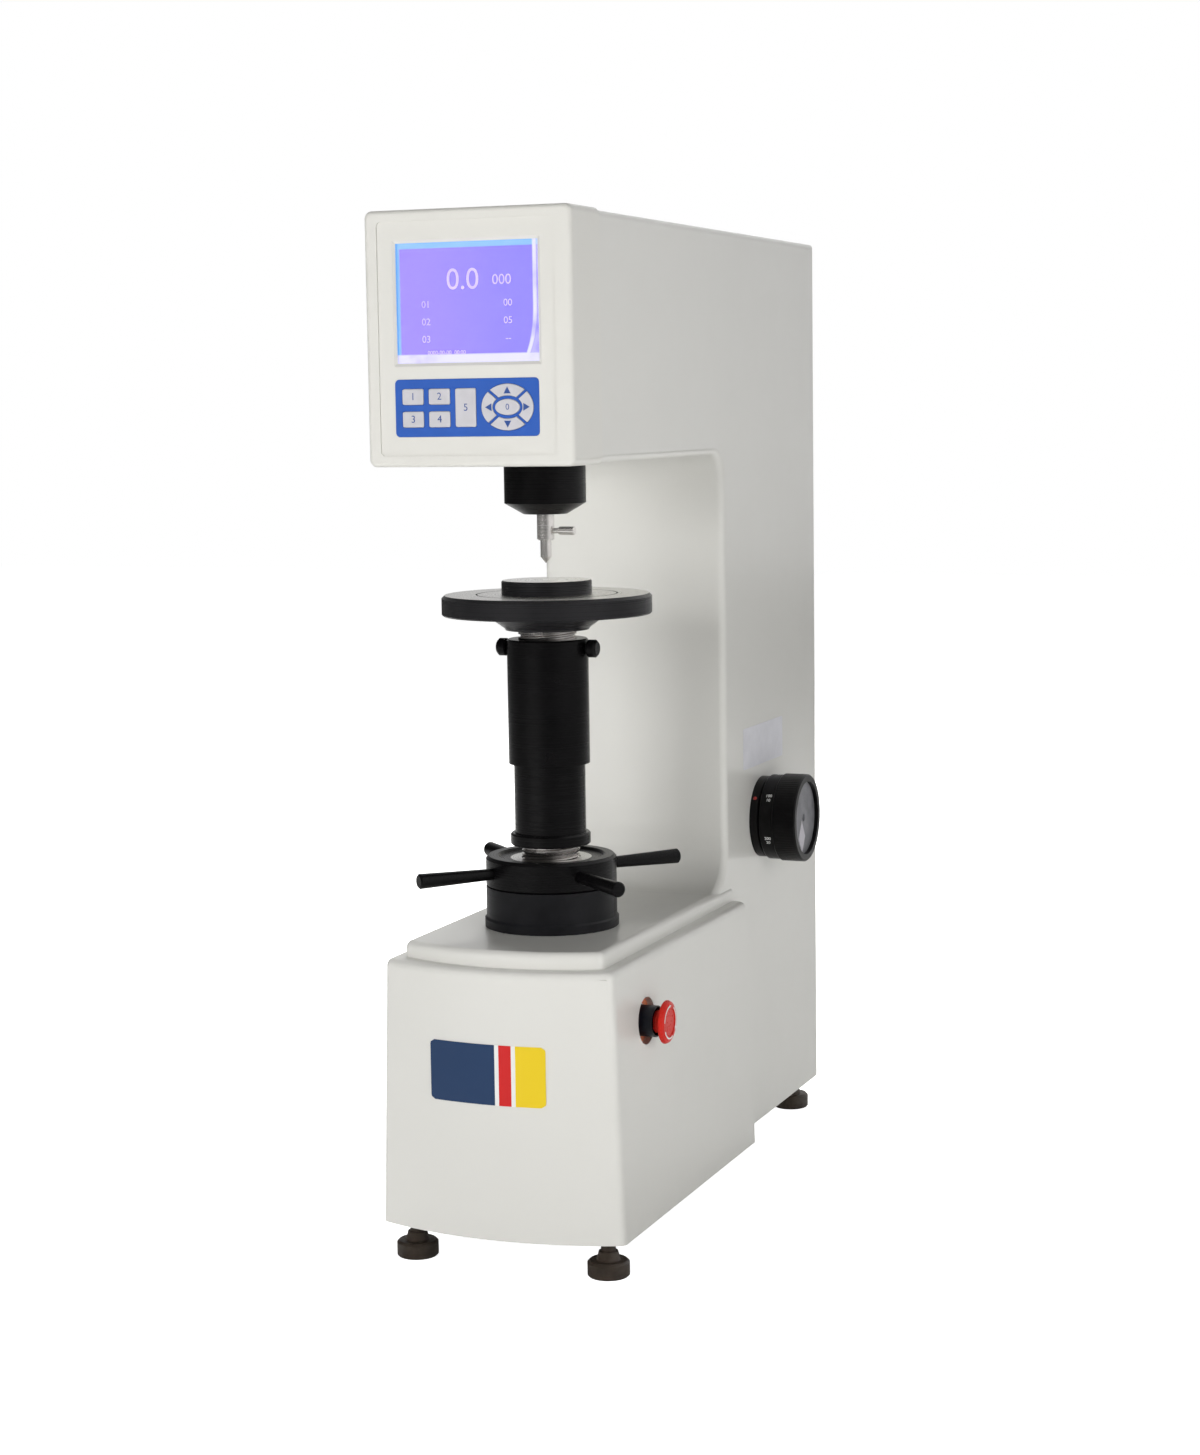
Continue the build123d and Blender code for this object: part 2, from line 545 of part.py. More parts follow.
def foot_places():
    """Name and position of each foot."""
    return {"front_left": (-FRONT_FOOT_X, FRONT_FOOT_Y), "front_right": (FRONT_FOOT_X, FRONT_FOOT_Y),
            "rear_left": (-REAR_FOOT_X, REAR_FOOT_Y), "rear_right": (REAR_FOOT_X, REAR_FOOT_Y)}


def cover_screw(radius_gap=0.0):
    """Screw standing head up with the top of its head at Z = 0."""
    head = rod(SCREW_HEAD_RADIUS + radius_gap, -SCREW_HEAD_HEIGHT, 0)
    shank = rod(SCREW_SHANK_RADIUS + radius_gap, -SCREW_LENGTH, 0)
    return head + shank


def cover_screws(radius_gap=0.0):
    """Screws of the top cover and the rear cover, or their holes with a gap."""
    across = OPENING_HALF + COVER_LAND / 2
    top_rows = (TOP_OPENING_FRONT + SCREW_INSET, TOP_OPENING_REAR - SCREW_INSET)
    rear_ends = (REAR_OPENING_BOTTOM + SCREW_INSET, REAR_OPENING_TOP - SCREW_INSET)
    rear_rows = (rear_ends[0], sum(rear_ends) / 2, rear_ends[1])
    screws = []
    for side in (-across, across):
        for y in top_rows:
            screws.append(Pos(side, y, HEAD_TOP) * cover_screw(radius_gap))
        for z in rear_rows:
            screws.append(Pos(side, REAR_Y, z) * Rot(-90, 0, 0) * cover_screw(radius_gap))
    return screws


def frame_casting():
    """C-shaped casting: base block, hollow column and hollow head."""
    casting = base_block() + c_body() - frame_cavities()
    for x, y in foot_places().values():
        if y < 0:
            casting += Pos(x, y, 0) * rod(BOSS_RADIUS, BLOCK_BOTTOM, BLOCK_BOTTOM + BOSS_HEIGHT)
    for x, y in foot_places().values():
        insert = rod(FOOT_STEM_RADIUS + RUNNING_FIT, BLOCK_BOTTOM, BLOCK_BOTTOM + BOSS_HEIGHT - FREE_GAP)
        casting -= Pos(x, y, 0) * insert
    casting -= rod(SPIGOT_RADIUS + SEAT_GAP, DECK_Z - DECK_THICKNESS, DECK_Z)
    casting -= rod(GUIDE_RADIUS + SEAT_GAP, HEAD_BOTTOM, HEAD_FLOOR_Z)
    casting -= to_x(rod(SELECTOR_BUSH_RADIUS + SEAT_GAP, CAVITY_HALF, BODY_HALF), DIAL_Y, DIAL_Z)
    pocket = rod(STOP_POCKET_RADIUS, STOP_FACE_X - STOP_POCKET_DEPTH, STOP_FRONT_X)
    passage = rod(STOP_BARREL_RADIUS + FREE_GAP, BLOCK_HALF_TOP - BLOCK_WALL, STOP_FRONT_X)
    casting -= to_x(pocket + passage, STOP_Y, STOP_Z)
    return casting - cover_screws(SEAT_GAP)


def top_cover():
    """Lid of the head."""
    return top_plate(COVER_GAP) - cover_screws(SEAT_GAP)


def rear_cover():
    """Door panel of the column with the cut-out of the power inlet."""
    half = INLET_WIDTH / 2 + SEAT_GAP
    rise = INLET_HEIGHT / 2 + SEAT_GAP
    cut = span_box((-half, half), (REAR_Y - COVER_THICKNESS, REAR_Y), (INLET_Z - rise, INLET_Z + rise))
    return rear_plate(COVER_GAP) - cover_screws(SEAT_GAP) - cut


# ---------------------------------------------------------------- bezel, display and keypad
def head_bezel():
    """Moulded front of the head with its window and keypad recess."""
    back_y = BEZEL_BACK_Y
    shell = span_box((-BEZEL_HALF, BEZEL_HALF), (HEAD_FRONT_Y, back_y), (BEZEL_BOTTOM, BEZEL_TOP))
    shell = fillet(shell.edges().filter_by(Axis.Y), BEZEL_CORNER_RADIUS)
    shell = fillet(shell.faces().sort_by(Axis.Y)[0].edges(), BEZEL_FRONT_RADIUS)
    inside = BEZEL_HALF - BEZEL_WALL
    shell -= span_box((-inside, inside), (HEAD_FRONT_Y + BEZEL_WALL, back_y),
                      (BEZEL_BOTTOM + BEZEL_WALL, BEZEL_TOP - BEZEL_WALL))
    panel = RectangleRounded(2 * PANEL_HALF, PANEL_TOP - PANEL_BOTTOM, PANEL_CORNER_RADIUS)
    shell -= plate(Pos(PANEL_X, (PANEL_TOP + PANEL_BOTTOM) / 2) * panel, HEAD_FRONT_Y, PANEL_RECESS)
    shell -= window_opening()
    shell -= pane(0)
    shell -= plate(keypad_outline(), PANEL_Y, KEYPAD_RECESS)
    post = Rot(-90, 0, 0) * rod(BOARD_POST_RADIUS, HEAD_FRONT_Y + BEZEL_WALL, BOARD_FRONT_Y)
    for x in (-BOARD_HOLE_X, BOARD_HOLE_X):
        for z in (BOARD_Z - BOARD_HOLE_Z, BOARD_Z + BOARD_HOLE_Z):
            shell += Pos(x, 0, z) * post
    return shell


def window_opening():
    """Opening of the display, with its edge bevelled from the panel down to the pane."""
    clear = Rectangle(WINDOW_WIDTH, WINDOW_HEIGHT)
    wide = Rectangle(WINDOW_WIDTH + 2 * WINDOW_BEVEL, WINDOW_HEIGHT + 2 * WINDOW_BEVEL)
    sections = [Pos(WINDOW_X, y, WINDOW_Z) * Rot(90, 0, 0) * outline
                for outline, y in ((wide, PANEL_Y), (clear, PANE_Y))]
    return loft(sections) + plate(Pos(WINDOW_X, WINDOW_Z) * clear, PANE_Y, BEZEL_WALL)


def pane(gap):
    """Display pane, or its rebate when the gap is zero."""
    outline = Rectangle(WINDOW_WIDTH + 2 * (WINDOW_LAP - gap), WINDOW_HEIGHT + 2 * (WINDOW_LAP - gap))
    return plate(Pos(WINDOW_X, WINDOW_Z) * outline, PANE_Y, PANE_THICKNESS)


def lcd_module():
    """Display module: its frame with a raised glass behind the pane."""
    back = HEAD_FRONT_Y + BEZEL_WALL
    frame = Rectangle(WINDOW_WIDTH + 2 * LCD_MARGIN, WINDOW_HEIGHT + 2 * LCD_MARGIN)
    frame = plate(Pos(WINDOW_X, WINDOW_Z) * frame, back + LCD_GLASS_STEP, LCD_THICKNESS)
    glass = Rectangle(WINDOW_WIDTH - LCD_MARGIN, WINDOW_HEIGHT - LCD_MARGIN)
    return frame + plate(Pos(WINDOW_X, WINDOW_Z) * glass, back, LCD_GLASS_STEP)


def main_board():
    """Circuit board on four posts with its larger components."""
    outline = Rectangle(2 * BOARD_HALF_WIDTH, 2 * BOARD_HALF_HEIGHT)
    board = plate(Pos(0, BOARD_Z) * outline, BOARD_FRONT_Y, BOARD_THICKNESS)
    for across, up, width, height, depth in BOARD_COMPONENTS:
        place = Pos(across * BOARD_HALF_WIDTH, BOARD_Z + up * BOARD_HALF_HEIGHT)
        outline = place * Rectangle(width * BOARD_HALF_WIDTH, height * BOARD_HALF_HEIGHT)
        board += plate(outline, BOARD_FRONT_Y + BOARD_THICKNESS, depth)
    return board


def keypad_outline(gap=0.0):
    """Rounded outline of the keypad."""
    outline = RectangleRounded(KEYPAD_WIDTH - 2 * gap, KEYPAD_HEIGHT - 2 * gap, KEYPAD_CORNER_RADIUS)
    return Pos(KEYPAD_X, KEYPAD_Z) * outline


def pad_sector(side, grow=0.0):
    """One quarter of the direction pad; sides 0 to 3 run right, up, left, down."""
    ring = Ellipse(PAD_HALF_WIDTH + grow, PAD_HALF_HEIGHT + grow)
    ring -= Ellipse(PAD_HOLE_HALF_WIDTH - grow, PAD_HOLE_HALF_HEIGHT - grow)
    reach = 2 * PAD_HALF_WIDTH
    slope = PAD_HALF_HEIGHT / PAD_HALF_WIDTH
    rise = reach * slope
    if side in (0, 2):
        start = (PAD_SLOT / 2 - grow) / math.sin(math.atan(slope))
        wedge = Polyline((start, 0), (start + reach, rise), (start + reach, -rise), close=True)
    else:
        start = (PAD_SLOT / 2 - grow) / math.cos(math.atan(slope))
        wedge = Polyline((0, start), (reach, start + rise), (-reach, start + rise), close=True)
    turn = 180 if side in (2, 3) else 0
    return ring & Rot(0, 0, turn) * make_face(wedge)


def key_outlines(grow=0.0):
    """Outline of every key in the keypad's X and Z."""
    outlines = {}
    low = KEYPAD_Z - KEY_PITCH_Z / 2
    rows = {"lower": low, "upper": low + KEY_PITCH_Z}
    columns = {"left": FIRST_KEY_X, "right": FIRST_KEY_X + KEY_WIDTH + KEY_SPACING}
    for row, z in rows.items():
        for column, x in columns.items():
            shape = RectangleRounded(KEY_WIDTH + 2 * grow, KEY_HEIGHT + 2 * grow, KEY_CORNER_RADIUS + grow)
            outlines[f"key_{row}_{column}"] = Pos(x, z) * shape
    height = KEY_HEIGHT + KEY_PITCH_Z
    shape = RectangleRounded(TALL_KEY_WIDTH + 2 * grow, height + 2 * grow, KEY_CORNER_RADIUS + grow)
    outlines["key_tall"] = Pos(TALL_KEY_X, KEYPAD_Z) * shape
    for side, name in enumerate(("right", "up", "left", "down")):
        outlines[f"arrow_key_{name}"] = Pos(PAD_X, KEYPAD_Z) * pad_sector(side, grow)
    outlines["key_centre"] = Pos(PAD_X, KEYPAD_Z) * Ellipse(OK_HALF_WIDTH + grow, OK_HALF_HEIGHT + grow)
    return outlines


def keypad_overlay():
    """Keypad plate with an opening for each key."""
    front = PANEL_Y + KEYPAD_RECESS - KEYPAD_THICKNESS
    overlay = plate(keypad_outline(SEAT_GAP), front, KEYPAD_THICKNESS)
    for outline in key_outlines(KEY_GAP).values():
        overlay -= plate(outline, front, KEYPAD_THICKNESS)
    return overlay


def keys():
    """All keys, each a little proud of the keypad."""
    front = PANEL_Y + KEYPAD_RECESS - KEYPAD_THICKNESS - KEY_PROUD
    return {name: plate(outline, front, KEY_THICKNESS) for name, outline in key_outlines().items()}


# ---------------------------------------------------------------- spindle group
def nose_cover():
    """Black nose under the head that shrouds the spindle."""
    bottom = HEAD_BOTTOM - NOSE_LENGTH
    return turned((NOSE_BORE_RADIUS, bottom), (NOSE_TIP_RADIUS, bottom), (NOSE_RADIUS, bottom + NOSE_TAPER),
                  (NOSE_RADIUS, HEAD_BOTTOM), (NOSE_BORE_RADIUS, HEAD_BOTTOM))


def spindle_guide():
    """Flanged bush that guides the spindle in the head floor."""
    top = HEAD_FLOOR_Z + GUIDE_LENGTH
    bore = SPINDLE_RADIUS + RUNNING_FIT
    return turned((bore, HEAD_BOTTOM), (GUIDE_RADIUS, HEAD_BOTTOM), (GUIDE_RADIUS, HEAD_FLOOR_Z),
                  (GUIDE_FLANGE_RADIUS, HEAD_FLOOR_Z), (GUIDE_FLANGE_RADIUS, HEAD_FLOOR_Z + GUIDE_FLANGE),
                  (GUIDE_RADIUS, HEAD_FLOOR_Z + GUIDE_FLANGE), (GUIDE_RADIUS, top), (bore, top))


def spindle():
    """Spindle with its chuck, and the arm that carries the depth sensor's scale."""
    body = turned((0, CHUCK_BOTTOM), (CHUCK_RADIUS - CHUCK_CHAMFER, CHUCK_BOTTOM),
                  (CHUCK_RADIUS, CHUCK_BOTTOM + CHUCK_CHAMFER), (CHUCK_RADIUS, CHUCK_TOP),
                  (SPINDLE_RADIUS, CHUCK_TOP + SPINDLE_RADIUS - CHUCK_RADIUS),
                  (SPINDLE_RADIUS, SPINDLE_TOP - SPINDLE_POINT_HEIGHT), (SPINDLE_POINT_RADIUS, SPINDLE_TOP),
                  (0, SPINDLE_TOP))
    body -= rod(INDENTER_SHANK_RADIUS + SEAT_GAP, CHUCK_BOTTOM, CHUCK_BOTTOM + INDENTER_SHANK + FREE_GAP)
    body -= to_x(rod(THUMB_THREAD_RADIUS + SEAT_GAP, 0, CHUCK_RADIUS), 0, THUMB_Z)
    arm_y = (SPINDLE_RADIUS / 2, SPINDLE_RADIUS / 2 + SENSOR_DEPTH / 2)
    arm_z = (SENSOR_ARM_Z, SENSOR_ARM_Z + SENSOR_ARM_HEIGHT)
    return body + span_box((SENSOR_X - SENSOR_WIDTH / 4, 0), arm_y, arm_z)


def indenter():
    """Indenter with its shank and rounded cone."""
    shoulder = TIP_Z + INDENTER_CONE
    tip = TIP_Z + INDENTER_TIP_RADIUS / 2
    body = turned((0, TIP_Z), (INDENTER_TIP_RADIUS * 0.6, TIP_Z), (INDENTER_TIP_RADIUS, tip),
                  (INDENTER_RADIUS * 0.8, shoulder), (INDENTER_RADIUS, shoulder + INDENTER_TIP_RADIUS),
                  (INDENTER_RADIUS, CHUCK_BOTTOM), (INDENTER_SHANK_RADIUS, CHUCK_BOTTOM),
                  (INDENTER_SHANK_RADIUS, CHUCK_BOTTOM + INDENTER_SHANK),
                  (0, CHUCK_BOTTOM + INDENTER_SHANK))
    return body


def indenter_screw():
    """Small thumbscrew that clamps the indenter's shank."""
    start = INDENTER_SHANK_RADIUS + 2 * SEAT_GAP
    neck_end = CHUCK_RADIUS + THUMB_NECK
    body = turned((0, start), (THUMB_THREAD_RADIUS, start), (THUMB_THREAD_RADIUS, CHUCK_RADIUS + FREE_GAP),
                  (THUMB_NECK_RADIUS, CHUCK_RADIUS + FREE_GAP), (THUMB_NECK_RADIUS, neck_end),
                  (THUMB_HEAD_RADIUS - 0.5, neck_end), (THUMB_HEAD_RADIUS, neck_end + 0.6),
                  (THUMB_HEAD_RADIUS, neck_end + THUMB_HEAD - 0.6),
                  (THUMB_HEAD_RADIUS - 0.6, neck_end + THUMB_HEAD), (0, neck_end + THUMB_HEAD))
    return to_x(body, 0, THUMB_Z)


def depth_sensor():
    """Depth sensor on the head floor, with its plunger under the spindle's arm."""
    top = SENSOR_ARM_Z - SENSOR_PLUNGER
    body = span_box((SENSOR_X - SENSOR_WIDTH / 2, SENSOR_X + SENSOR_WIDTH / 2),
                    (SENSOR_Y - SENSOR_DEPTH / 2, SENSOR_Y + SENSOR_DEPTH / 2), (HEAD_FLOOR_Z, top))
    return body + Pos(SENSOR_X, SENSOR_Y, 0) * rod(SENSOR_PLUNGER_RADIUS, top, SENSOR_ARM_Z - FREE_GAP)


# ---------------------------------------------------------------- lever and weights
def main_lever():
    """Loading lever that turns on its pivot pin and tapers towards the weights."""
    front = PIVOT_Y - LEVER_HEIGHT / 2
    taper_start = LEVER_HEIGHT * 1.5
    side = Plane.YZ * Polyline(
        (front, LEVER_BOTTOM), (taper_start, LEVER_BOTTOM), (LEVER_END_Y, LEVER_Z - LEVER_TIP_HEIGHT / 2),
        (LEVER_END_Y, LEVER_Z + LEVER_TIP_HEIGHT / 2), (taper_start, LEVER_BOTTOM + LEVER_HEIGHT),
        (front, LEVER_BOTTOM + LEVER_HEIGHT), close=True)
    body = extrude(make_face(side), LEVER_WIDTH / 2, both=True)
    taper_end = HANGER_Y - 2 * HANGER_BAR
    half = LEVER_WIDTH / 2
    tip = LEVER_TIP_WIDTH / 2
    plan = Polyline((-half, front), (-half, taper_start), (-tip, taper_end), (-tip, LEVER_END_Y),
                    (tip, LEVER_END_Y), (tip, taper_end), (half, taper_start), (half, front), close=True)
    body &= extrude(Pos(0, 0, LEVER_BOTTOM) * make_face(plan), LEVER_HEIGHT)
    body -= to_x(rod(PIVOT_RADIUS + RUNNING_FIT, -LEVER_WIDTH, LEVER_WIDTH), PIVOT_Y, LEVER_Z)
    return body


def pivot_bracket():
    """Two cheeks on one foot plate that carry the pivot pin."""
    front = PIVOT_Y - PIVOT_CHEEK_DEPTH / 2
    cheek = (front, front + PIVOT_CHEEK_DEPTH)
    top = LEVER_Z + LEVER_HEIGHT / 2
    bracket = span_box((CHEEK_INNER_X, CHEEK_OUTER_X), cheek, (HEAD_FLOOR_Z, top))
    bracket += span_box((-CHEEK_OUTER_X, -CHEEK_INNER_X), cheek, (HEAD_FLOOR_Z, top))
    bracket += span_box((-CHEEK_OUTER_X, CHEEK_OUTER_X), (front - PIVOT_BASE_REACH, front),
                        (HEAD_FLOOR_Z, HEAD_FLOOR_Z + PIVOT_BASE_HEIGHT))
    return bracket - to_x(rod(PIVOT_RADIUS, -CHEEK_OUTER_X, CHEEK_OUTER_X), PIVOT_Y, LEVER_Z)


def pivot_pin():
    """Hardened pin of the lever, with a collar each side that keeps the lever central."""
    end = CHEEK_OUTER_X + PIVOT_COLLAR
    pin = rod(PIVOT_RADIUS, -end, end)
    lever_side = LEVER_WIDTH / 2 + FREE_GAP
    pin += rod(PIVOT_RADIUS + PIVOT_COLLAR, lever_side, CHEEK_INNER_X)
    pin += rod(PIVOT_RADIUS + PIVOT_COLLAR, -CHEEK_INNER_X, -lever_side)
    return to_x(pin, PIVOT_Y, LEVER_Z)


def weight_hanger():
    """Stirrup over the lever's end, rod, and the foot that carries the weights."""
    inner_x = LEVER_TIP_WIDTH / 2 + HANGER_SIDE_GAP
    outer_x = inner_x + HANGER_STRAP
    bar_z = LEVER_Z + LEVER_TIP_HEIGHT / 2 + 1.2 + HANGER_SEAT_GAP
    y = (HANGER_Y - HANGER_BAR / 2, HANGER_Y + HANGER_BAR / 2)
    stirrup = span_box((-outer_x, outer_x), y, (STIRRUP_BOTTOM, bar_z + HANGER_BAR))
    stirrup -= span_box((-inner_x, inner_x), y, (STIRRUP_BOTTOM + HANGER_BAR, bar_z))
    shaft = rod(HANGER_ROD_RADIUS, HANGER_FOOT_Z, STIRRUP_BOTTOM)
    foot = rod(HANGER_FOOT_RADIUS, HANGER_FOOT_Z, WEIGHT_Z)
    return stirrup + Pos(0, HANGER_Y, 0) * (shaft + foot)


def weight(bottom, thickness):
    """Ring weight with a chamfered rim."""
    top = bottom + thickness
    bore = HANGER_ROD_RADIUS + SEAT_GAP
    rim = WEIGHT_RADIUS - WEIGHT_LIP / 3
    ring = turned((bore, bottom), (rim, bottom), (WEIGHT_RADIUS, bottom + WEIGHT_LIP / 3),
                  (WEIGHT_RADIUS, top - WEIGHT_LIP), (rim, top - WEIGHT_LIP), (rim, top), (bore, top))
    return Pos(0, HANGER_Y, 0) * ring


def weights():
    """Three weights stacked on the hanger's foot."""
    middle = WEIGHT_Z + LOWER_WEIGHT_HEIGHT
    upper = middle + MIDDLE_WEIGHT_HEIGHT
    return {"weight_lower": weight(WEIGHT_Z, LOWER_WEIGHT_HEIGHT),
            "weight_middle": weight(middle, MIDDLE_WEIGHT_HEIGHT),
            "weight_upper": weight(upper, UPPER_WEIGHT_HEIGHT)}


def load_cam():
    """Eccentric and its shaft, drawn with the high point up under the hanger's foot."""
    shaft = rod(CAM_SHAFT_RADIUS, -GEARBOX_GAP - CAM_SHAFT_INSERT, CAM_WIDTH / 2 + CAM_SHAFT_END)
    cam = Pos(-CAM_OFFSET, 0, 0) * rod(CAM_RADIUS, -CAM_WIDTH / 2, CAM_WIDTH / 2)
    return to_x(shaft + cam, HANGER_Y, CAM_Z)


def load_motor():
    """Geared motor bolted to the casting's floor."""
    x = (-GEARBOX_GAP - GEARBOX_WIDTH, -GEARBOX_GAP)
    y = (HANGER_Y - GEARBOX_DEPTH / 2, HANGER_Y + GEARBOX_DEPTH / 2)
    box = span_box(x, y, (FLOOR_Z, HANGER_FOOT_Z - FREE_GAP * 6))
    bore_end = -GEARBOX_GAP - CAM_SHAFT_INSERT - FREE_GAP
    box -= to_x(rod(CAM_SHAFT_RADIUS + RUNNING_FIT, bore_end, -GEARBOX_GAP), HANGER_Y, CAM_Z)
    motor = rod(MOTOR_RADIUS, 0, MOTOR_LENGTH)
    return box + Pos(sum(x) / 2, y[0], CAM_Z) * Rot(90, 0, 0) * motor


# ---------------------------------------------------------------- force selector
def selector_index_ring():
    """Fixed ring on the casting with the bush of the selector shaft."""
    bore = SELECTOR_RADIUS + RUNNING_FIT
    inside = CAVITY_HALF - INDEX_CHAMFER
    face = BODY_HALF + INDEX_WIDTH
    ring = turned((bore, inside), (SELECTOR_BUSH_RADIUS, inside), (SELECTOR_BUSH_RADIUS, BODY_HALF),
                  (INDEX_RADIUS, BODY_HALF), (INDEX_RADIUS, face - INDEX_CHAMFER),
                  (INDEX_RADIUS - INDEX_CHAMFER, face), (bore, face))
    return to_x(ring, DIAL_Y, DIAL_Z)


def selector_dial():
    """Turning dial: number ring and grip, open at the face for its cap."""
    bore = SELECTOR_RADIUS + SEAT_GAP / 2
    inner = GRIP_RADIUS - GRIP_RIM
    step = GRIP_RADIUS - SCALE_RADIUS
    dial = turned((bore, DIAL_X), (SCALE_RADIUS - SCALE_CHAMFER, DIAL_X),
                  (SCALE_RADIUS, DIAL_X + SCALE_CHAMFER), (SCALE_RADIUS, GRIP_X),
                  (GRIP_RADIUS, GRIP_X + step), (GRIP_RADIUS, DIAL_END_X - step),
                  (GRIP_RADIUS - step, DIAL_END_X), (inner, DIAL_END_X), (inner, DIAL_FLOOR_X),
                  (bore, DIAL_FLOOR_X))
    return to_x(dial, DIAL_Y, DIAL_Z)


def selector_cap():
    """Face disc of the dial with its centre hole."""
    outer = GRIP_RADIUS - GRIP_RIM - SEAT_GAP
    return to_x(tube(outer, CAP_HOLE_RADIUS, DIAL_FLOOR_X, DIAL_FLOOR_X + CAP_THICKNESS), DIAL_Y, DIAL_Z)


def selector_shaft():
    """Shaft of the dial with the cam that picks the weights."""
    shaft = rod(SELECTOR_RADIUS, SELECTOR_END_X, DIAL_FLOOR_X)
    cam = rod(SELECTOR_CAM_RADIUS, SELECTOR_END_X, SELECTOR_END_X + SELECTOR_CAM_WIDTH)
    return to_x(shaft + Pos(SELECTOR_CAM_OFFSET, 0, 0) * cam, DIAL_Y, DIAL_Z)


# ---------------------------------------------------------------- elevating group
def elevating_screw():
    """Elevating screw with its keyway and the bore for the anvil's shank."""
    screw = turned((0, SCREW_BOTTOM), (SCREW_RADIUS - SCREW_CHAMFER, SCREW_BOTTOM),
                   (SCREW_RADIUS, SCREW_BOTTOM + SCREW_CHAMFER), (SCREW_RADIUS, SCREW_TOP - SCREW_CHAMFER),
                   (SCREW_RADIUS - SCREW_CHAMFER, SCREW_TOP), (0, SCREW_TOP))
    screw -= rod(ANVIL_SHANK_RADIUS + SEAT_GAP, SCREW_TOP - SCREW_BORE_DEPTH, SCREW_TOP)
    screw -= span_box((-KEYWAY_WIDTH / 2, KEYWAY_WIDTH / 2), (SCREW_RADIUS - KEYWAY_DEPTH, SCREW_RADIUS + 1),
                      (SCREW_BOTTOM, SCREW_TOP - KEYWAY_STOP))
    return screw


def elevating_nut():
    """Nut that turns with the handwheel on its thrust bearing."""
    bottom = DECK_Z - SPIGOT_LENGTH + SPIGOT_END + 2
    flange = BEARING_Z + BEARING_HEIGHT
    bore = SCREW_RADIUS + FREE_GAP
    return turned((bore, bottom), (NUT_RADIUS, bottom), (NUT_RADIUS, flange), (NUT_FLANGE_RADIUS, flange),
                  (NUT_FLANGE_RADIUS, flange + NUT_FLANGE), (NUT_RADIUS, flange + NUT_FLANGE),
                  (NUT_RADIUS, NUT_TOP), (bore, NUT_TOP))


def thrust_bearing():
    """Thrust bearing under the nut's flange."""
    inner = NUT_RADIUS + FREE_GAP
    middle = BEARING_Z + BEARING_HEIGHT / 2
    rounding = BEARING_HEIGHT / 6
    return turned((inner, BEARING_Z), (NUT_FLANGE_RADIUS, BEARING_Z), (NUT_FLANGE_RADIUS, middle - rounding),
                  (NUT_FLANGE_RADIUS - rounding, middle), (NUT_FLANGE_RADIUS, middle + rounding),
                  (NUT_FLANGE_RADIUS, BEARING_Z + BEARING_HEIGHT), (inner, BEARING_Z + BEARING_HEIGHT))


def bearing_housing():
    """Fixed housing of nut and bearing, let into the casting's deck."""
    foot = DECK_Z - SPIGOT_LENGTH
    shelf = foot + SPIGOT_END
    guide = SCREW_RADIUS + RUNNING_FIT
    nut_bore = NUT_RADIUS + RUNNING_FIT
    pocket = NUT_FLANGE_RADIUS + FREE_GAP
    flange = DECK_Z + HOUSING_FLANGE
    step = HOUSING_FLANGE_RADIUS - HOUSING_RADIUS
    housing = turned((guide, foot), (SPIGOT_RADIUS, foot), (SPIGOT_RADIUS, DECK_Z),
                     (HOUSING_FLANGE_RADIUS, DECK_Z), (HOUSING_FLANGE_RADIUS, flange - step),
                     (HOUSING_RADIUS, flange), (HOUSING_RADIUS, HOUSING_TOP), (pocket, HOUSING_TOP),
                     (pocket, BEARING_Z), (nut_bore, BEARING_Z), (nut_bore, shelf), (guide, shelf))
    return housing - key_blank(0)


def key_blank(gap):
    """Guide key in the housing's foot, or its slot when the gap is zero."""
    half = KEYWAY_WIDTH / 2 - gap
    foot = DECK_Z - SPIGOT_LENGTH
    return span_box((-half, half), (SCREW_RADIUS - KEYWAY_DEPTH + FREE_GAP, SPIGOT_RADIUS),
                    (foot + 2 + gap, foot + SPIGOT_END - 2 - gap))


def screw_guide_key():
    """Key that stops the screw from turning."""
    return key_blank(SEAT_GAP) & rod(SPIGOT_RADIUS - SEAT_GAP, DECK_Z - SPIGOT_LENGTH, DECK_Z)


def rod_angles():
    """Directions of the handwheel's rods."""
    return [ROD_ANGLE + index * 360 / ROD_COUNT for index in range(ROD_COUNT)]


def handwheel():
    """Handwheel ring with its dished top and rod sockets."""
    bore = NUT_RADIUS + SEAT_GAP / 2
    dish = WHEEL_TOP - WHEEL_DISH
    wheel = turned((bore, WHEEL_BOTTOM), (HOUSING_RADIUS - 1, WHEEL_BOTTOM),
                   (HOUSING_RADIUS, WHEEL_BOTTOM + 1), (HOUSING_RADIUS, WHEEL_TOP - WHEEL_CHAMFER),
                   (HOUSING_RADIUS - WHEEL_CHAMFER, WHEEL_TOP), (WHEEL_DISH_RADIUS, WHEEL_TOP),
                   (WHEEL_DISH_RADIUS - WHEEL_CHAMFER, dish), (bore, dish))
    for angle in rod_angles():
        socket = rod(ROD_ROOT_RADIUS + RUNNING_FIT, HOUSING_RADIUS - ROD_SOCKET, HOUSING_RADIUS)
        wheel -= Pos(0, 0, ROD_Z) * Rot(0, 0, angle) * Rot(0, 90, 0) * socket
    return wheel


def handwheel_rods():
    """Four tapered turning rods."""
    profile = turned((0, HOUSING_RADIUS - ROD_SOCKET), (ROD_ROOT_RADIUS, HOUSING_RADIUS - ROD_SOCKET),
                     (ROD_ROOT_RADIUS, HOUSING_RADIUS), (ROD_TIP_RADIUS, ROD_REACH - 1),
                     (ROD_TIP_RADIUS - 1, ROD_REACH), (0, ROD_REACH))
    rods = [Pos(0, 0, ROD_Z) * Rot(0, 0, angle) * Rot(0, 90, 0) * profile for angle in rod_angles()]
    return Part() + rods


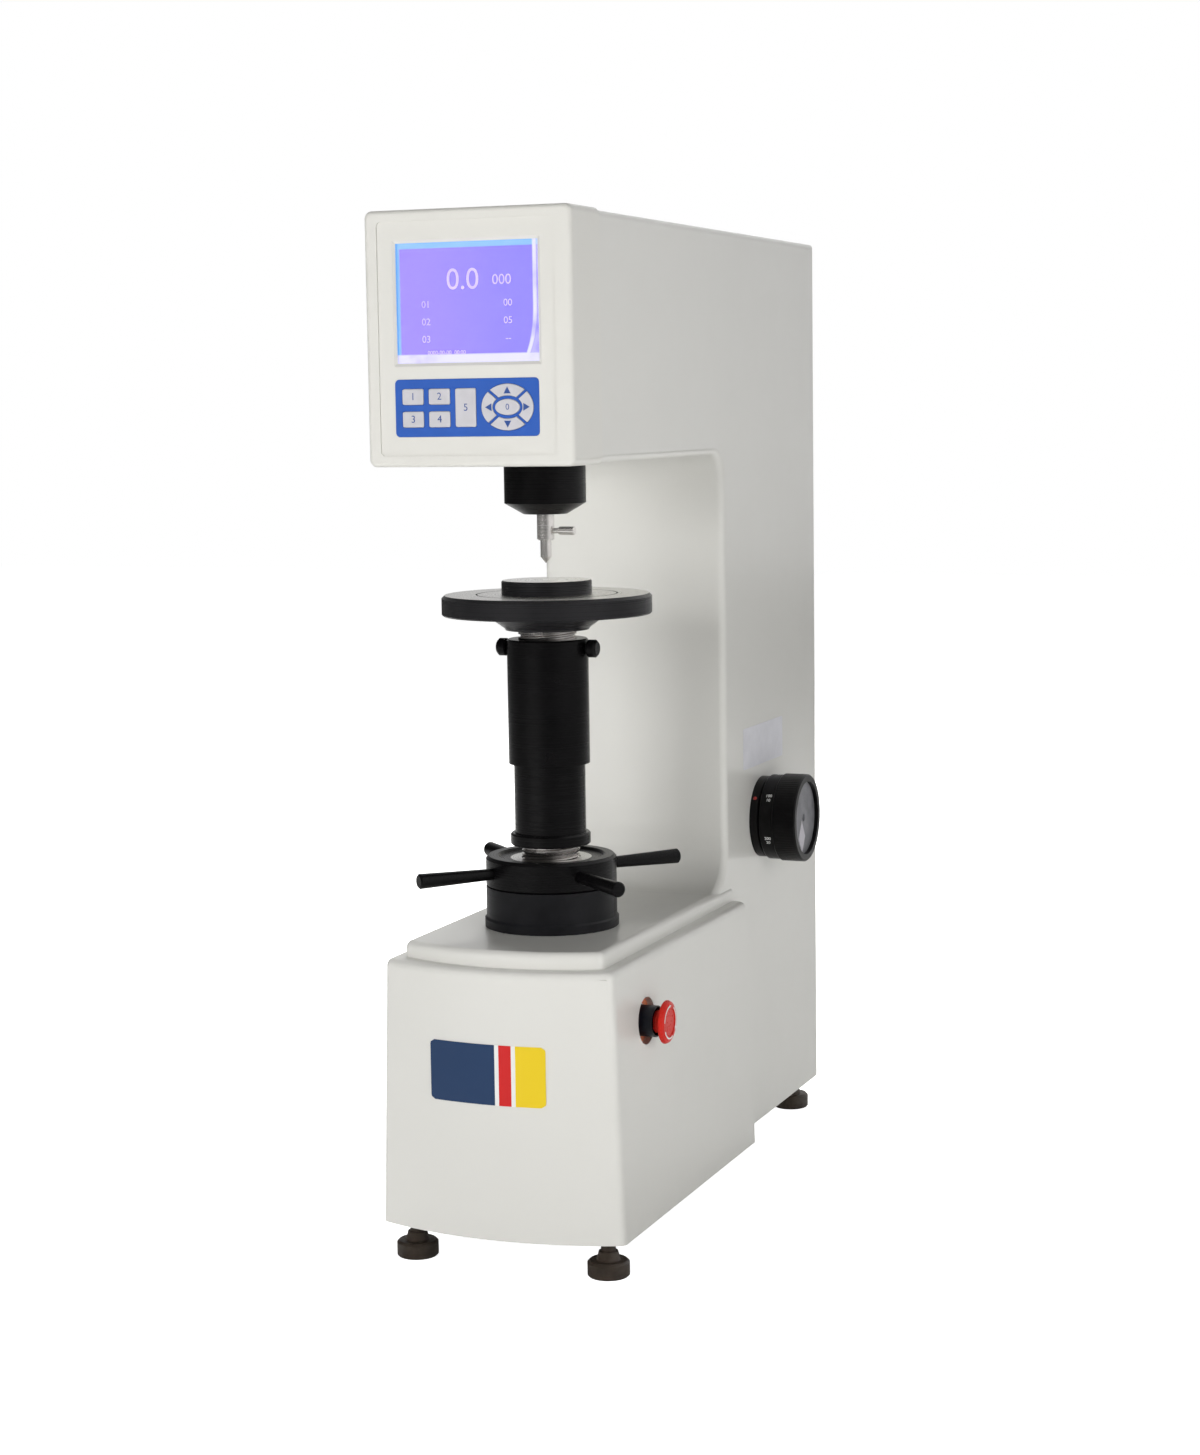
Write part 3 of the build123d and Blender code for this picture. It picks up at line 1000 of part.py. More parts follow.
def lower_sleeve():
    """Lower guard sleeve with its collar; its lip rides the screw."""
    top = LOWER_SLEEVE_Z + LOWER_SLEEVE_HEIGHT
    lip = SCREW_RADIUS + FREE_GAP
    bore = LOWER_SLEEVE_RADIUS - LOWER_SLEEVE_WALL
    collar = LOWER_SLEEVE_Z + COLLAR_HEIGHT
    return turned((lip, LOWER_SLEEVE_Z), (COLLAR_RADIUS - 1, LOWER_SLEEVE_Z),
                  (COLLAR_RADIUS, LOWER_SLEEVE_Z + 1), (COLLAR_RADIUS, collar - 1),
                  (COLLAR_RADIUS - 1, collar), (LOWER_SLEEVE_RADIUS, collar), (LOWER_SLEEVE_RADIUS, top),
                  (bore, top), (bore, collar), (lip, collar))


def sleeve_screw(side):
    """Thumbscrew that clamps the upper sleeve to the screw."""
    start = SCREW_RADIUS + 2 * SEAT_GAP
    neck = UPPER_SLEEVE_RADIUS + FREE_GAP
    head = neck + SLEEVE_SCREW_NECK
    end = head + SLEEVE_SCREW_HEAD
    body = turned((0, start), (SLEEVE_SCREW_THREAD_RADIUS, start), (SLEEVE_SCREW_THREAD_RADIUS, neck),
                  (SLEEVE_SCREW_NECK_RADIUS, neck), (SLEEVE_SCREW_NECK_RADIUS, head),
                  (SLEEVE_SCREW_HEAD_RADIUS - 0.8, head), (SLEEVE_SCREW_HEAD_RADIUS, head + 1),
                  (SLEEVE_SCREW_HEAD_RADIUS, end - 1.5), (SLEEVE_SCREW_HEAD_RADIUS - 1.5, end), (0, end))
    return Pos(0, 0, UPPER_SLEEVE_TOP - SLEEVE_SCREW_DROP) * Rot(0, 0, side) * Rot(0, 90, 0) * body


def upper_sleeve():
    """Upper guard sleeve, clamped to the screw by its thick cap."""
    ceiling = UPPER_SLEEVE_TOP - UPPER_SLEEVE_CAP
    inner = LOWER_SLEEVE_RADIUS + FREE_GAP
    seat = SCREW_RADIUS + SEAT_GAP
    sleeve = turned((inner, UPPER_SLEEVE_Z), (UPPER_SLEEVE_RADIUS, UPPER_SLEEVE_Z),
                    (UPPER_SLEEVE_RADIUS, UPPER_SLEEVE_TOP - 1), (UPPER_SLEEVE_RADIUS - 1, UPPER_SLEEVE_TOP),
                    (seat, UPPER_SLEEVE_TOP), (seat, ceiling), (inner, ceiling))
    for side in (SLEEVE_SCREW_ANGLE, SLEEVE_SCREW_ANGLE + 180):
        hole = rod(SLEEVE_SCREW_THREAD_RADIUS + RUNNING_FIT, SCREW_RADIUS - 1, UPPER_SLEEVE_RADIUS + 1)
        sleeve -= Pos(0, 0, UPPER_SLEEVE_TOP - SLEEVE_SCREW_DROP) * Rot(0, 0, side) * Rot(0, 90, 0) * hole
    return sleeve


def test_table():
    """Large round test table with its conical hub."""
    bore = ANVIL_SHANK_RADIUS + SEAT_GAP
    groove = (TABLE_GROOVE_RADIUS - TABLE_GROOVE / 2, TABLE_GROOVE_RADIUS + TABLE_GROOVE / 2)
    return turned((bore, SCREW_TOP), (TABLE_HUB_RADIUS, SCREW_TOP), (TABLE_HUB_RADIUS + 1, SCREW_TOP + 1.5),
                  (TABLE_HUB_TOP_RADIUS, TABLE_Z), (TABLE_RADIUS - 1, TABLE_Z), (TABLE_RADIUS, TABLE_Z + 1),
                  (TABLE_RADIUS, TABLE_TOP - TABLE_CHAMFER), (TABLE_RADIUS - TABLE_CHAMFER, TABLE_TOP),
                  (groove[1], TABLE_TOP), (groove[1], TABLE_TOP - TABLE_GROOVE),
                  (groove[0], TABLE_TOP - TABLE_GROOVE), (groove[0], TABLE_TOP), (bore, TABLE_TOP))


def flat_anvil():
    """Small flat anvil whose shank drops through the table into the screw."""
    foot = SCREW_TOP - ANVIL_SHANK
    return turned((0, foot), (ANVIL_SHANK_RADIUS - ANVIL_CHAMFER, foot),
                  (ANVIL_SHANK_RADIUS, foot + ANVIL_CHAMFER), (ANVIL_SHANK_RADIUS, TABLE_TOP),
                  (ANVIL_RADIUS, TABLE_TOP), (ANVIL_RADIUS, ANVIL_TOP - ANVIL_CHAMFER),
                  (ANVIL_RADIUS - ANVIL_CHAMFER, ANVIL_TOP), (0, ANVIL_TOP))


# ---------------------------------------------------------------- stop button, inlet and feet
def stop_barrel():
    """Barrel of the stop button with its contact block inside the base."""
    block_x = BLOCK_HALF_TOP - BLOCK_WALL
    barrel = rod(STOP_BARREL_RADIUS, block_x, STOP_BARREL_X)
    block = Pos(0, 0, block_x - STOP_BLOCK_DEPTH / 2) * Box(STOP_BLOCK, STOP_BLOCK, STOP_BLOCK_DEPTH)
    bore = rod(STOP_STEM_RADIUS + RUNNING_FIT, block_x - STOP_TRAVEL, STOP_BARREL_X)
    bore += rod(STOP_BARREL_RADIUS - STOP_BARREL_WALL, STOP_BARREL_X - STOP_BORE_DEPTH, STOP_BARREL_X)
    return to_x(barrel + block - bore, STOP_Y, STOP_Z)


def stop_stem():
    """Plunger of the stop button."""
    return to_x(rod(STOP_STEM_RADIUS, BLOCK_HALF_TOP - BLOCK_WALL + FREE_GAP, STOP_STEM_X), STOP_Y, STOP_Z)


def stop_head():
    """Mushroom head whose neck slides in the mouth of the barrel."""
    back = STOP_BARREL_X - STOP_NECK_INSERT
    flare = STOP_BARREL_X + STOP_TRAVEL
    stem = STOP_STEM_RADIUS + RUNNING_FIT
    stem_end = STOP_STEM_X + SEAT_GAP
    rim = flare + (STOP_HEAD_DEPTH - STOP_TRAVEL) * 0.35
    head = turned((stem, back), (STOP_NECK_RADIUS, back), (STOP_NECK_RADIUS, flare - 2),
                  (STOP_FLARE_RADIUS, flare + FREE_GAP), (STOP_HEAD_RADIUS - 0.6, rim - 0.6),
                  (STOP_HEAD_RADIUS, rim), (STOP_HEAD_RADIUS, rim + 0.8),
                  (STOP_HEAD_RADIUS - 0.9, STOP_FRONT_X - 0.9), (STOP_FACE_RADIUS, STOP_FRONT_X),
                  (STOP_BUTTON_RADIUS, STOP_FRONT_X), (STOP_BUTTON_RADIUS, STOP_FRONT_X - STOP_BUTTON_RECESS),
                  (0, STOP_FRONT_X - STOP_BUTTON_RECESS), (0, stem_end), (stem, stem_end))
    return to_x(head, STOP_Y, STOP_Z)


def power_inlet():
    """Mains inlet with its socket, three pins and the frame of the rocker."""
    front = REAR_Y + INLET_PROUD
    half = INLET_WIDTH / 2
    rise = INLET_HEIGHT / 2
    body = span_box((-half, half), (REAR_Y - INLET_DEPTH, front), (INLET_Z - rise, INLET_Z + rise))
    body += span_box((-half - INLET_FLANGE, half + INLET_FLANGE), (REAR_Y, front),
                     (INLET_Z - rise - INLET_FLANGE, INLET_Z + rise + INLET_FLANGE))
    floor = front - SOCKET_DEPTH
    body -= span_box((SOCKET_X - SOCKET_WIDTH / 2, SOCKET_X + SOCKET_WIDTH / 2), (floor, front),
                     (INLET_Z - SOCKET_HEIGHT / 2, INLET_Z + SOCKET_HEIGHT / 2))
    for across, up in SOCKET_PINS:
        x = SOCKET_X + across
        z = INLET_Z + up
        body += span_box((x - PIN_HALF_WIDTH, x + PIN_HALF_WIDTH), (floor, floor + SOCKET_PIN),
                         (z - PIN_HALF_HEIGHT, z + PIN_HALF_HEIGHT))
    well = ROCKER_WIDTH / 2 + FREE_GAP
    well_rise = ROCKER_HEIGHT / 2 + 1
    body -= span_box((ROCKER_X - well, ROCKER_X + well), (front - ROCKER_WELL, front),
                     (INLET_Z - well_rise, INLET_Z + well_rise))
    return body


def power_rocker():
    """Rocker of the power switch, pivoted across its middle and drawn switched off."""
    reach = ROCKER_HEIGHT / 2
    outline = Plane.YZ * Polyline((-4, -reach + 2), (-1, -reach), (2, -reach), (0.6, 0), (2, reach),
                                  (-1, reach), (-4, reach - 2), close=True)
    cap = extrude(make_face(outline), ROCKER_WIDTH / 2, both=True)
    return Pos(ROCKER_X, REAR_Y + INLET_PROUD, INLET_Z) * Rot(-ROCKER_TILT, 0, 0) * cap


def foot():
    """Levelling foot: pad, collar and stem, about Z."""
    collar = FOOT_PAD_HEIGHT + FOOT_NUT_HEIGHT
    shoulder = FOOT_PAD_HEIGHT - FOOT_CHAMFER
    return turned((0, 0), (FOOT_PAD_RADIUS - 1, 0), (FOOT_PAD_RADIUS, 1), (FOOT_PAD_RADIUS, shoulder),
                  (FOOT_PAD_RADIUS - FOOT_CHAMFER, FOOT_PAD_HEIGHT), (FOOT_NUT_RADIUS, FOOT_PAD_HEIGHT),
                  (FOOT_NUT_RADIUS - FOOT_CHAMFER, collar), (FOOT_STEM_RADIUS, collar),
                  (FOOT_STEM_RADIUS, BLOCK_BOTTOM + FOOT_STEM_INSERT), (0, BLOCK_BOTTOM + FOOT_STEM_INSERT))


def all_parts():
    """Every part of the machine by name, drawn about the test axis."""
    parts = {
        "frame_casting": frame_casting(), "top_cover": top_cover(), "rear_cover": rear_cover(),
        "cover_screws": Part() + cover_screws(), "head_bezel": head_bezel(), "display_pane": pane(SEAT_GAP),
        "display_module": lcd_module(), "main_board": main_board(), "keypad_overlay": keypad_overlay(),
        "nose_cover": nose_cover(), "spindle_guide": spindle_guide(), "spindle": spindle(),
        "indenter": indenter(), "indenter_screw": indenter_screw(), "depth_sensor": depth_sensor(),
        "main_lever": main_lever(), "pivot_bracket": pivot_bracket(), "pivot_pin": pivot_pin(),
        "weight_hanger": weight_hanger(), "load_cam": load_cam(), "load_motor": load_motor(),
        "selector_index_ring": selector_index_ring(), "selector_dial": selector_dial(),
        "selector_cap": selector_cap(), "selector_shaft": selector_shaft(),
        "elevating_screw": elevating_screw(), "elevating_nut": elevating_nut(),
        "thrust_bearing": thrust_bearing(), "bearing_housing": bearing_housing(),
        "screw_guide_key": screw_guide_key(), "handwheel": handwheel(), "handwheel_rods": handwheel_rods(),
        "lower_sleeve": lower_sleeve(), "upper_sleeve": upper_sleeve(),
        "sleeve_screw_right": sleeve_screw(SLEEVE_SCREW_ANGLE),
        "sleeve_screw_left": sleeve_screw(SLEEVE_SCREW_ANGLE + 180),
        "test_table": test_table(), "flat_anvil": flat_anvil(), "stop_barrel": stop_barrel(),
        "stop_stem": stop_stem(), "stop_head": stop_head(), "power_inlet": power_inlet(),
        "power_rocker": power_rocker(),
    }
    parts.update(keys())
    parts.update(weights())
    for name, (x, y) in foot_places().items():
        parts[f"foot_{name}"] = Pos(x, y, 0) * foot()
    return parts


def main():
    """Write one STEP file for each part."""
    os.makedirs("parts", exist_ok=True)
    for name, part in all_parts().items():
        placed = Pos(-FOOTPRINT_X, -FOOTPRINT_Y, 0) * part
        placed.label = name
        export_step(placed, f"parts/{name}.step")


if __name__ == "__main__":
    main()
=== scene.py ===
import math

import bmesh
import bpy
from mathutils import Matrix, Vector
from mathutils.bvhtree import BVHTree

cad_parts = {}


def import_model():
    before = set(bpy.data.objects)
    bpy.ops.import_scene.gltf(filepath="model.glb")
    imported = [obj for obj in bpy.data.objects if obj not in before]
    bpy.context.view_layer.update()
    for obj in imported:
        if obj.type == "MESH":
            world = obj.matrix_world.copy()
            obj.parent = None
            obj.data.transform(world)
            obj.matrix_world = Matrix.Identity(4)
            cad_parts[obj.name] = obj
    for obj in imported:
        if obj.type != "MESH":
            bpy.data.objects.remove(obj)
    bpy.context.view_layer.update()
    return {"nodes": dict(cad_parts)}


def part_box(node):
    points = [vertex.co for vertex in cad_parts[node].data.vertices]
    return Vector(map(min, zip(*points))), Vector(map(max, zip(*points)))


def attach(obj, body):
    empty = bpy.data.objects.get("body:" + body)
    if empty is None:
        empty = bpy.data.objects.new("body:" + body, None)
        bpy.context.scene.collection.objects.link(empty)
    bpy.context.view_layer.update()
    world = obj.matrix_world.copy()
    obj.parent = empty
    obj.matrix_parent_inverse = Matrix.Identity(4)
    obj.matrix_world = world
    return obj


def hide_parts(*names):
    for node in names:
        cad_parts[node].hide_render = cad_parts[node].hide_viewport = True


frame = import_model()

# Bench hardness tester. Lengths are in metres in the row's frame: the operator stands on the -Y side,
# the force dial and the stop button are on the +X side, and the bench is at Z = 0.
MM = 0.001
NODES = frame["nodes"]

# ---------------------------------------------------------------- camera
CAMERA_PLACE = Vector((0.7137, -1.8628, 0.5747))
CAMERA_YAW = math.radians(21.593)      # turned left of the +Y direction
CAMERA_PITCH = math.radians(6.693)     # looking down
CAMERA_ROLL = math.radians(-0.83)
CAMERA_LENS = 67.94
CAMERA_SHIFT = -0.00189              # share of the frame's height
SENSOR = 36.0

# ---------------------------------------------------------------- light
FLOOR_SIZE = 14.0
AMBIENT = 0.05
KEY_LIGHT = 47.0
TOP_LIGHT = 1.5
SIDE_LIGHT = 1.5
FILL_LIGHT = 5.2
BACK_LIGHT = 85.0
FLOOR_GLOW = 0.97
BRIGHT_SIDE = (0.70, 0.60, 0.38)       # direction that the bright side of the room lies in
DARK_SIDE = 0.05

# ---------------------------------------------------------------- colours (linear)
CREAM = (0.735, 0.728, 0.690)
BEZEL_CREAM = (0.745, 0.735, 0.690)
COVER_CREAM = (0.700, 0.700, 0.665)
BLACK = (0.0035, 0.0033, 0.0036)
OXIDE = (0.020, 0.0195, 0.021)
GROUND_FACE = (0.94, 0.93, 0.91)
POLISHED_OXIDE = (0.72, 0.71, 0.69)
DRUM_GREY = (0.010, 0.010, 0.0115)
STEEL = (0.88, 0.85, 0.82)
BRONZE = (0.55, 0.38, 0.18)
ENAMEL_GREY = (0.16, 0.17, 0.18)
WEIGHT_GREY = (0.045, 0.046, 0.050)
KEYPAD_BLUE = (0.024, 0.105, 0.46)
KEY_GREY = (0.60, 0.59, 0.62)
KEY_MARK = (0.035, 0.085, 0.30)
SCREEN_VIOLET = (0.21, 0.11, 0.86)
SCREEN_BLUE = (0.125, 0.07, 0.84)
SCREEN_EDGE = (0.13, 0.42, 0.98)
SCREEN_GLARE = (0.68, 0.66, 0.98)
SCREEN_TEXT = (0.43, 0.35, 0.92)
BARREL_NAVY = (0.004, 0.006, 0.012)
DOT_RED = (0.35, 0.02, 0.015)
RED = (0.66, 0.026, 0.018)
WHITE_PRINT = (0.82, 0.82, 0.80)
FACE_GREY = (0.20, 0.20, 0.215)
STICKER_GREY = (0.50, 0.48, 0.53)
LABEL_GREY = (0.73, 0.73, 0.775)
FOOT_BROWN = (0.036, 0.026, 0.019)
BOARD_GREEN = (0.01, 0.12, 0.04)
POCKET_EDGE = (0.74, 0.22, 0.10)
BADGE_YELLOW = (0.83, 0.60, 0.02)
BADGE_NAVY = (0.018, 0.045, 0.115)
BADGE_RED = (0.62, 0.02, 0.02)


# ---------------------------------------------------------------- node helpers
class Shader:
    """A Principled material with short calls for its procedural detail."""

    def __init__(self, name, colour, roughness, metallic=0.0, **sockets):
        self.material = bpy.data.materials.new(name)
        self.material.use_nodes = True
        self.tree = self.material.node_tree
        self.bsdf = self.tree.nodes["Principled BSDF"]
        self.colour = colour
        self.roughness = roughness
        self.bsdf.inputs["Base Color"].default_value = (*colour, 1)
        self.bsdf.inputs["Roughness"].default_value = roughness
        self.bsdf.inputs["Metallic"].default_value = metallic
        for socket, value in sockets.items():
            self.bsdf.inputs[socket.replace("_", " ")].default_value = value
        self.normal = None
        self.material.diffuse_color = (*colour, 1)

    def node(self, kind, **values):
        made = self.tree.nodes.new(kind)
        for key, value in values.items():
            if key in made.inputs.keys():
                made.inputs[key].default_value = value
            else:
                setattr(made, key, value)
        return made

    def link(self, source, target):
        self.tree.links.new(source, target)

    def position(self):
        return self.node("ShaderNodeTexCoord").outputs["Object"]

    def noise(self, scale, detail=2.0, vector=None):
        texture = self.node("ShaderNodeTexNoise", Scale=scale, Detail=detail)
        self.link(vector or self.position(), texture.inputs["Vector"])
        return texture.outputs["Fac"]

    def around(self, centre, axis):
        """A vector of the height along an axis and the distance from it, for lathe marks."""
        moved = self.node("ShaderNodeVectorMath", operation="SUBTRACT")
        self.link(self.position(), moved.inputs[0])
        moved.inputs[1].default_value = centre
        parts = self.node("ShaderNodeSeparateXYZ")
        self.link(moved.outputs[0], parts.inputs[0])
        flat = self.node("ShaderNodeVectorMath", operation="MULTIPLY")
        self.link(moved.outputs[0], flat.inputs[0])
        flat.inputs[1].default_value = [0.0 if i == "XYZ".index(axis) else 1.0 for i in range(3)]
        distance = self.node("ShaderNodeVectorMath", operation="LENGTH")
        self.link(flat.outputs[0], distance.inputs[0])
        joined = self.node("ShaderNodeCombineXYZ")
        self.link(parts.outputs[axis], joined.inputs["X"])
        self.link(distance.outputs["Value"], joined.inputs["Y"])
        return joined.outputs[0]

    def math(self, operation, *values):
        """Result of one arithmetic step on numbers or outputs."""
        made = self.node("ShaderNodeMath", operation=operation)
        for socket, value in zip(made.inputs, values):
            if isinstance(value, (int, float)):
                socket.default_value = value
            else:
                self.link(value, socket)
        return made.outputs[0]

    def step(self, value, start, end):
        """0 before start, 1 after end, and smooth in between."""
        made = self.node("ShaderNodeMapRange", interpolation_type="SMOOTHSTEP")
        self.link(value, made.inputs["Value"])
        made.inputs["From Min"].default_value = start
        made.inputs["From Max"].default_value = end
        return made.outputs["Result"]

    def blend(self, first, second, fac):
        """Mixes two colours, each a constant or an output."""
        made = self.node("ShaderNodeMix", data_type="RGBA")
        self.link(fac, made.inputs[0])
        for socket, value in zip((made.inputs[6], made.inputs[7]), (first, second)):
            if isinstance(value, tuple):
                socket.default_value = (*value, 1)
            else:
                self.link(value, socket)
        return made.outputs[2]

    def vary_colour(self, fac, amount):
        """Colour between a darker and a lighter shade of itself."""
        ramp = self.node("ShaderNodeValToRGB")
        low, high = ramp.color_ramp.elements
        low.position, high.position = 0.3, 0.7
        low.color = (*[c * (1 - amount) for c in self.colour], 1)
        high.color = (*[min(1.0, c * (1 + amount)) for c in self.colour], 1)
        self.link(fac, ramp.inputs["Fac"])
        self.link(ramp.outputs["Color"], self.bsdf.inputs["Base Color"])
        return self

    def vary_roughness(self, fac, amount):
        spread = self.node("ShaderNodeMapRange")
        spread.inputs["From Min"].default_value = 0.3
        spread.inputs["From Max"].default_value = 0.7
        spread.inputs["To Min"].default_value = max(0.02, self.roughness - amount)
        spread.inputs["To Max"].default_value = self.roughness + amount
        self.link(fac, spread.inputs["Value"])
        self.link(spread.outputs["Result"], self.bsdf.inputs["Roughness"])
        return self

    def bump(self, height, depth, strength=1.0):
        bump = self.node("ShaderNodeBump", Strength=strength, Distance=depth)
        self.link(height, bump.inputs["Height"])
        if self.normal:
            self.link(self.normal, bump.inputs["Normal"])
        self.normal = bump.outputs["Normal"]
        self.link(self.normal, self.bsdf.inputs["Normal"])
        return self

    def soften_edges(self, radius):
        """Rounds the look of sharp edges; it comes before any bump."""
        bevel = self.node("ShaderNodeBevel", samples=4, Radius=radius)
        self.normal = bevel.outputs["Normal"]
        self.link(self.normal, self.bsdf.inputs["Normal"])
        return self


# ---------------------------------------------------------------- materials
TEST_AXIS = (sum(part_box("elevating_screw"), Vector()) / 2).xy.to_3d()
DIAL_CENTRE = sum(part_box("selector_dial"), Vector()) / 2
BLACKING_GLOSS = 0.15
BODY_METAL = 0.3               # metallic share of a blackened body with a ground face


def paint(name, colour, peel=0.000008, roughness=0.34, edge=0.0):
    """Sprayed machine paint: orange peel, slow changes of tone and a thin clear gloss."""
    made = Shader(name, colour, roughness, Coat_Weight=0.3, Coat_Roughness=0.14)
    if edge:
        made.soften_edges(edge)
    made.vary_colour(made.noise(7.0, 3.0), 0.012)
    made.vary_roughness(made.noise(50.0, 2.0), 0.03)
    made.bump(made.noise(520.0, 1.0), peel)
    return made.material


def turned_black(name, colour, roughness, centre=None, axis="Z", groove=0.000012, grain=0.0):
    """Blackened turned steel with fine tool marks round its axis."""
    made = Shader(name, colour, roughness, Specular_IOR_Level=BLACKING_GLOSS)
    made.soften_edges(0.5 * MM)
    marks = made.noise(1900.0, 2.0, made.around(centre or TEST_AXIS, axis))
    made.vary_colour(made.noise(70.0, 4.0), 0.22)
    made.vary_roughness(marks, 0.07)
    made.bump(marks, groove)
    if grain:
        made.bump(made.noise(1300.0, 3.0), grain)
    return made.material


def ground_face(name, body, face, roughness):
    """Blackened body whose flat face on top is ground bright."""
    made = Shader(name, body, roughness, Specular_IOR_Level=BLACKING_GLOSS)
    normal = made.node("ShaderNodeNewGeometry").outputs["True Normal"]
    parts = made.node("ShaderNodeSeparateXYZ")
    made.link(normal, parts.inputs[0])
    upward = made.math("GREATER_THAN", parts.outputs["Z"], 0.97)
    marks = made.noise(1900.0, 2.0, made.around(TEST_AXIS, "Z"))
    tone = made.noise(70.0, 4.0)
    worn = made.blend(body, tuple(1.4 * c for c in body), tone)
    made.link(made.blend(worn, face, upward), made.bsdf.inputs["Base Color"])
    made.link(made.math("MAXIMUM", upward, BODY_METAL), made.bsdf.inputs["Metallic"])
    made.vary_roughness(marks, 0.06)
    made.bump(marks, 0.00002)
    made.bump(made.noise(1300.0, 3.0), 0.00002)
    return made.material


def turned_steel(name, colour, roughness, metallic=1.0):
    """Bright turned or ground steel."""
    made = Shader(name, colour, roughness, metallic)
    made.soften_edges(0.3 * MM)
    marks = made.noise(2600.0, 3.0, made.around(TEST_AXIS, "Z"))
    made.vary_colour(made.noise(110.0, 3.0), 0.06)
    made.vary_roughness(marks, 0.08)
    made.bump(marks, 0.00001)
    return made.material


def moulded(name, colour, roughness, grain=0.00002, coat=0.0, gloss=0.5):
    """Moulded plastic with a fine spark-eroded grain."""
    made = Shader(name, colour, roughness, Coat_Weight=coat, Coat_Roughness=0.08, Specular_IOR_Level=gloss)
    made.soften_edges(0.35 * MM)
    made.vary_colour(made.noise(90.0, 3.0), 0.04)
    made.vary_roughness(made.noise(700.0, 2.0), 0.05)
    made.bump(made.noise(1500.0, 2.0), grain)
    return made.material


def cast(name, colour, roughness, lump=0.00012):
    """Painted or oxidised iron with a cast skin."""
    made = Shader(name, colour, roughness)
    made.soften_edges(0.8 * MM)
    made.vary_colour(made.noise(120.0, 5.0), 0.25)
    made.vary_roughness(made.noise(300.0, 3.0), 0.10)
    made.bump(made.noise(500.0, 4.0), lump)
    return made.material


def circuit_board():
    """Green solder mask with copper tracks showing through."""
    made = Shader("circuit_board", BOARD_GREEN, 0.35, Coat_Weight=0.5)
    tracks = made.node("ShaderNodeTexVoronoi", Scale=260.0, distance="MANHATTAN")
    made.link(made.position(), tracks.inputs["Vector"])
    made.vary_colour(tracks.outputs["Distance"], 0.45)
    made.bump(tracks.outputs["Distance"], 0.00004)
    return made.material


def window_glass():
    """Clear acrylic window with faint smears."""
    made = Shader("window_glass", (0.97, 0.98, 1.0), 0.04, IOR=1.45, Transmission_Weight=1.0)
    made.vary_roughness(made.noise(35.0, 4.0), 0.02)
    return made.material


def printed(name, colour, roughness=0.45):
    """Opaque printing ink."""
    made = Shader(name, colour, roughness)
    made.vary_colour(made.noise(800.0, 2.0), 0.05)
    made.vary_roughness(made.noise(500.0, 2.0), 0.04)
    return made.material


def screen_field(centre, half_width, half_height):
    """Backlit screen: violet going blue, a cyan edge above and left, pale glare right and below."""
    made = Shader("screen_field", (0.02, 0.02, 0.04), 0.25)
    moved = made.node("ShaderNodeVectorMath", operation="SUBTRACT")
    made.link(made.position(), moved.inputs[0])
    moved.inputs[1].default_value = centre
    scaled = made.node("ShaderNodeVectorMath", operation="DIVIDE")
    made.link(moved.outputs[0], scaled.inputs[0])
    scaled.inputs[1].default_value = (half_width, 1.0, half_height)
    parts = made.node("ShaderNodeSeparateXYZ")
    made.link(scaled.outputs[0], parts.inputs[0])
    across, up = parts.outputs["X"], parts.outputs["Z"]
    down = made.math("MULTIPLY", up, -1.0)
    left = made.math("MULTIPLY", across, -1.0)
    field = made.blend(SCREEN_VIOLET, SCREEN_BLUE, made.step(across, -0.9, 0.9))
    edge = made.math("MAXIMUM", made.step(up, 0.895, 0.925), made.step(left, 0.945, 0.975))
    field = made.blend(field, SCREEN_EDGE, edge)
    low = made.math("MAXIMUM", made.math("SUBTRACT", down, 0.05), 0.0)
    curve = made.math("ADD", across, made.math("MULTIPLY", made.math("POWER", low, 2.5), 0.17))
    beyond = made.step(curve, 0.955, 0.985)
    line = made.math("MULTIPLY", made.step(curve, 0.905, 0.93), made.math("SUBTRACT", 1.0, beyond))
    outside = made.math("MULTIPLY", beyond, 0.45)
    glare = made.math("MAXIMUM", line, outside)
    glare = made.math("MAXIMUM", glare, made.step(down, 0.845, 0.875))
    glare = made.math("MULTIPLY", glare, made.step(made.noise(45.0, 2.0), 0.15, 0.5))
    field = made.blend(field, SCREEN_GLARE, glare)
    made.link(field, made.bsdf.inputs["Emission Color"])
    made.bsdf.inputs["Emission Strength"].default_value = 1.0
    return made.material


def glowing(name, colour, strength):
    """Lit characters on the screen."""
    made = Shader(name, colour, 0.4, Emission_Strength=strength)
    made.bsdf.inputs["Emission Color"].default_value = (*colour, 1)
    made.vary_roughness(made.noise(300.0), 0.05)
    return made.material


CREAM_PAINT = paint("cream_paint", CREAM)
BEZEL_PAINT = paint("bezel_paint", BEZEL_CREAM, peel=0.000006, roughness=0.40)
COVER_PAINT = paint("cover_paint", COVER_CREAM, edge=0.5 * MM)
BLACK_TURNED = turned_black("black_turned", BLACK, 0.30)
BLACK_SLEEVE = turned_black("black_sleeve", BLACK, 0.24)
BLACK_DIAL = turned_black("black_dial", BLACK, 0.36, DIAL_CENTRE, "X")
BLACK_OXIDE = ground_face("black_oxide", OXIDE, POLISHED_OXIDE, 0.30)
ANVIL_OXIDE = ground_face("anvil_oxide", OXIDE, GROUND_FACE, 0.28)
DRUM_BLACK = turned_black("drum_black", DRUM_GREY, 0.40, groove=0.00002, grain=0.00003)
BRIGHT_STEEL = turned_steel("bright_steel", STEEL, 0.20, metallic=0.82)
GROUND_STEEL = turned_steel("ground_steel", STEEL, 0.30)
SCREW_STEEL = turned_steel("screw_steel", (0.66, 0.63, 0.61), 0.20)
ZINC = turned_steel("zinc", (0.55, 0.55, 0.52), 0.34)
BRONZE_METAL = turned_steel("bronze", BRONZE, 0.32)
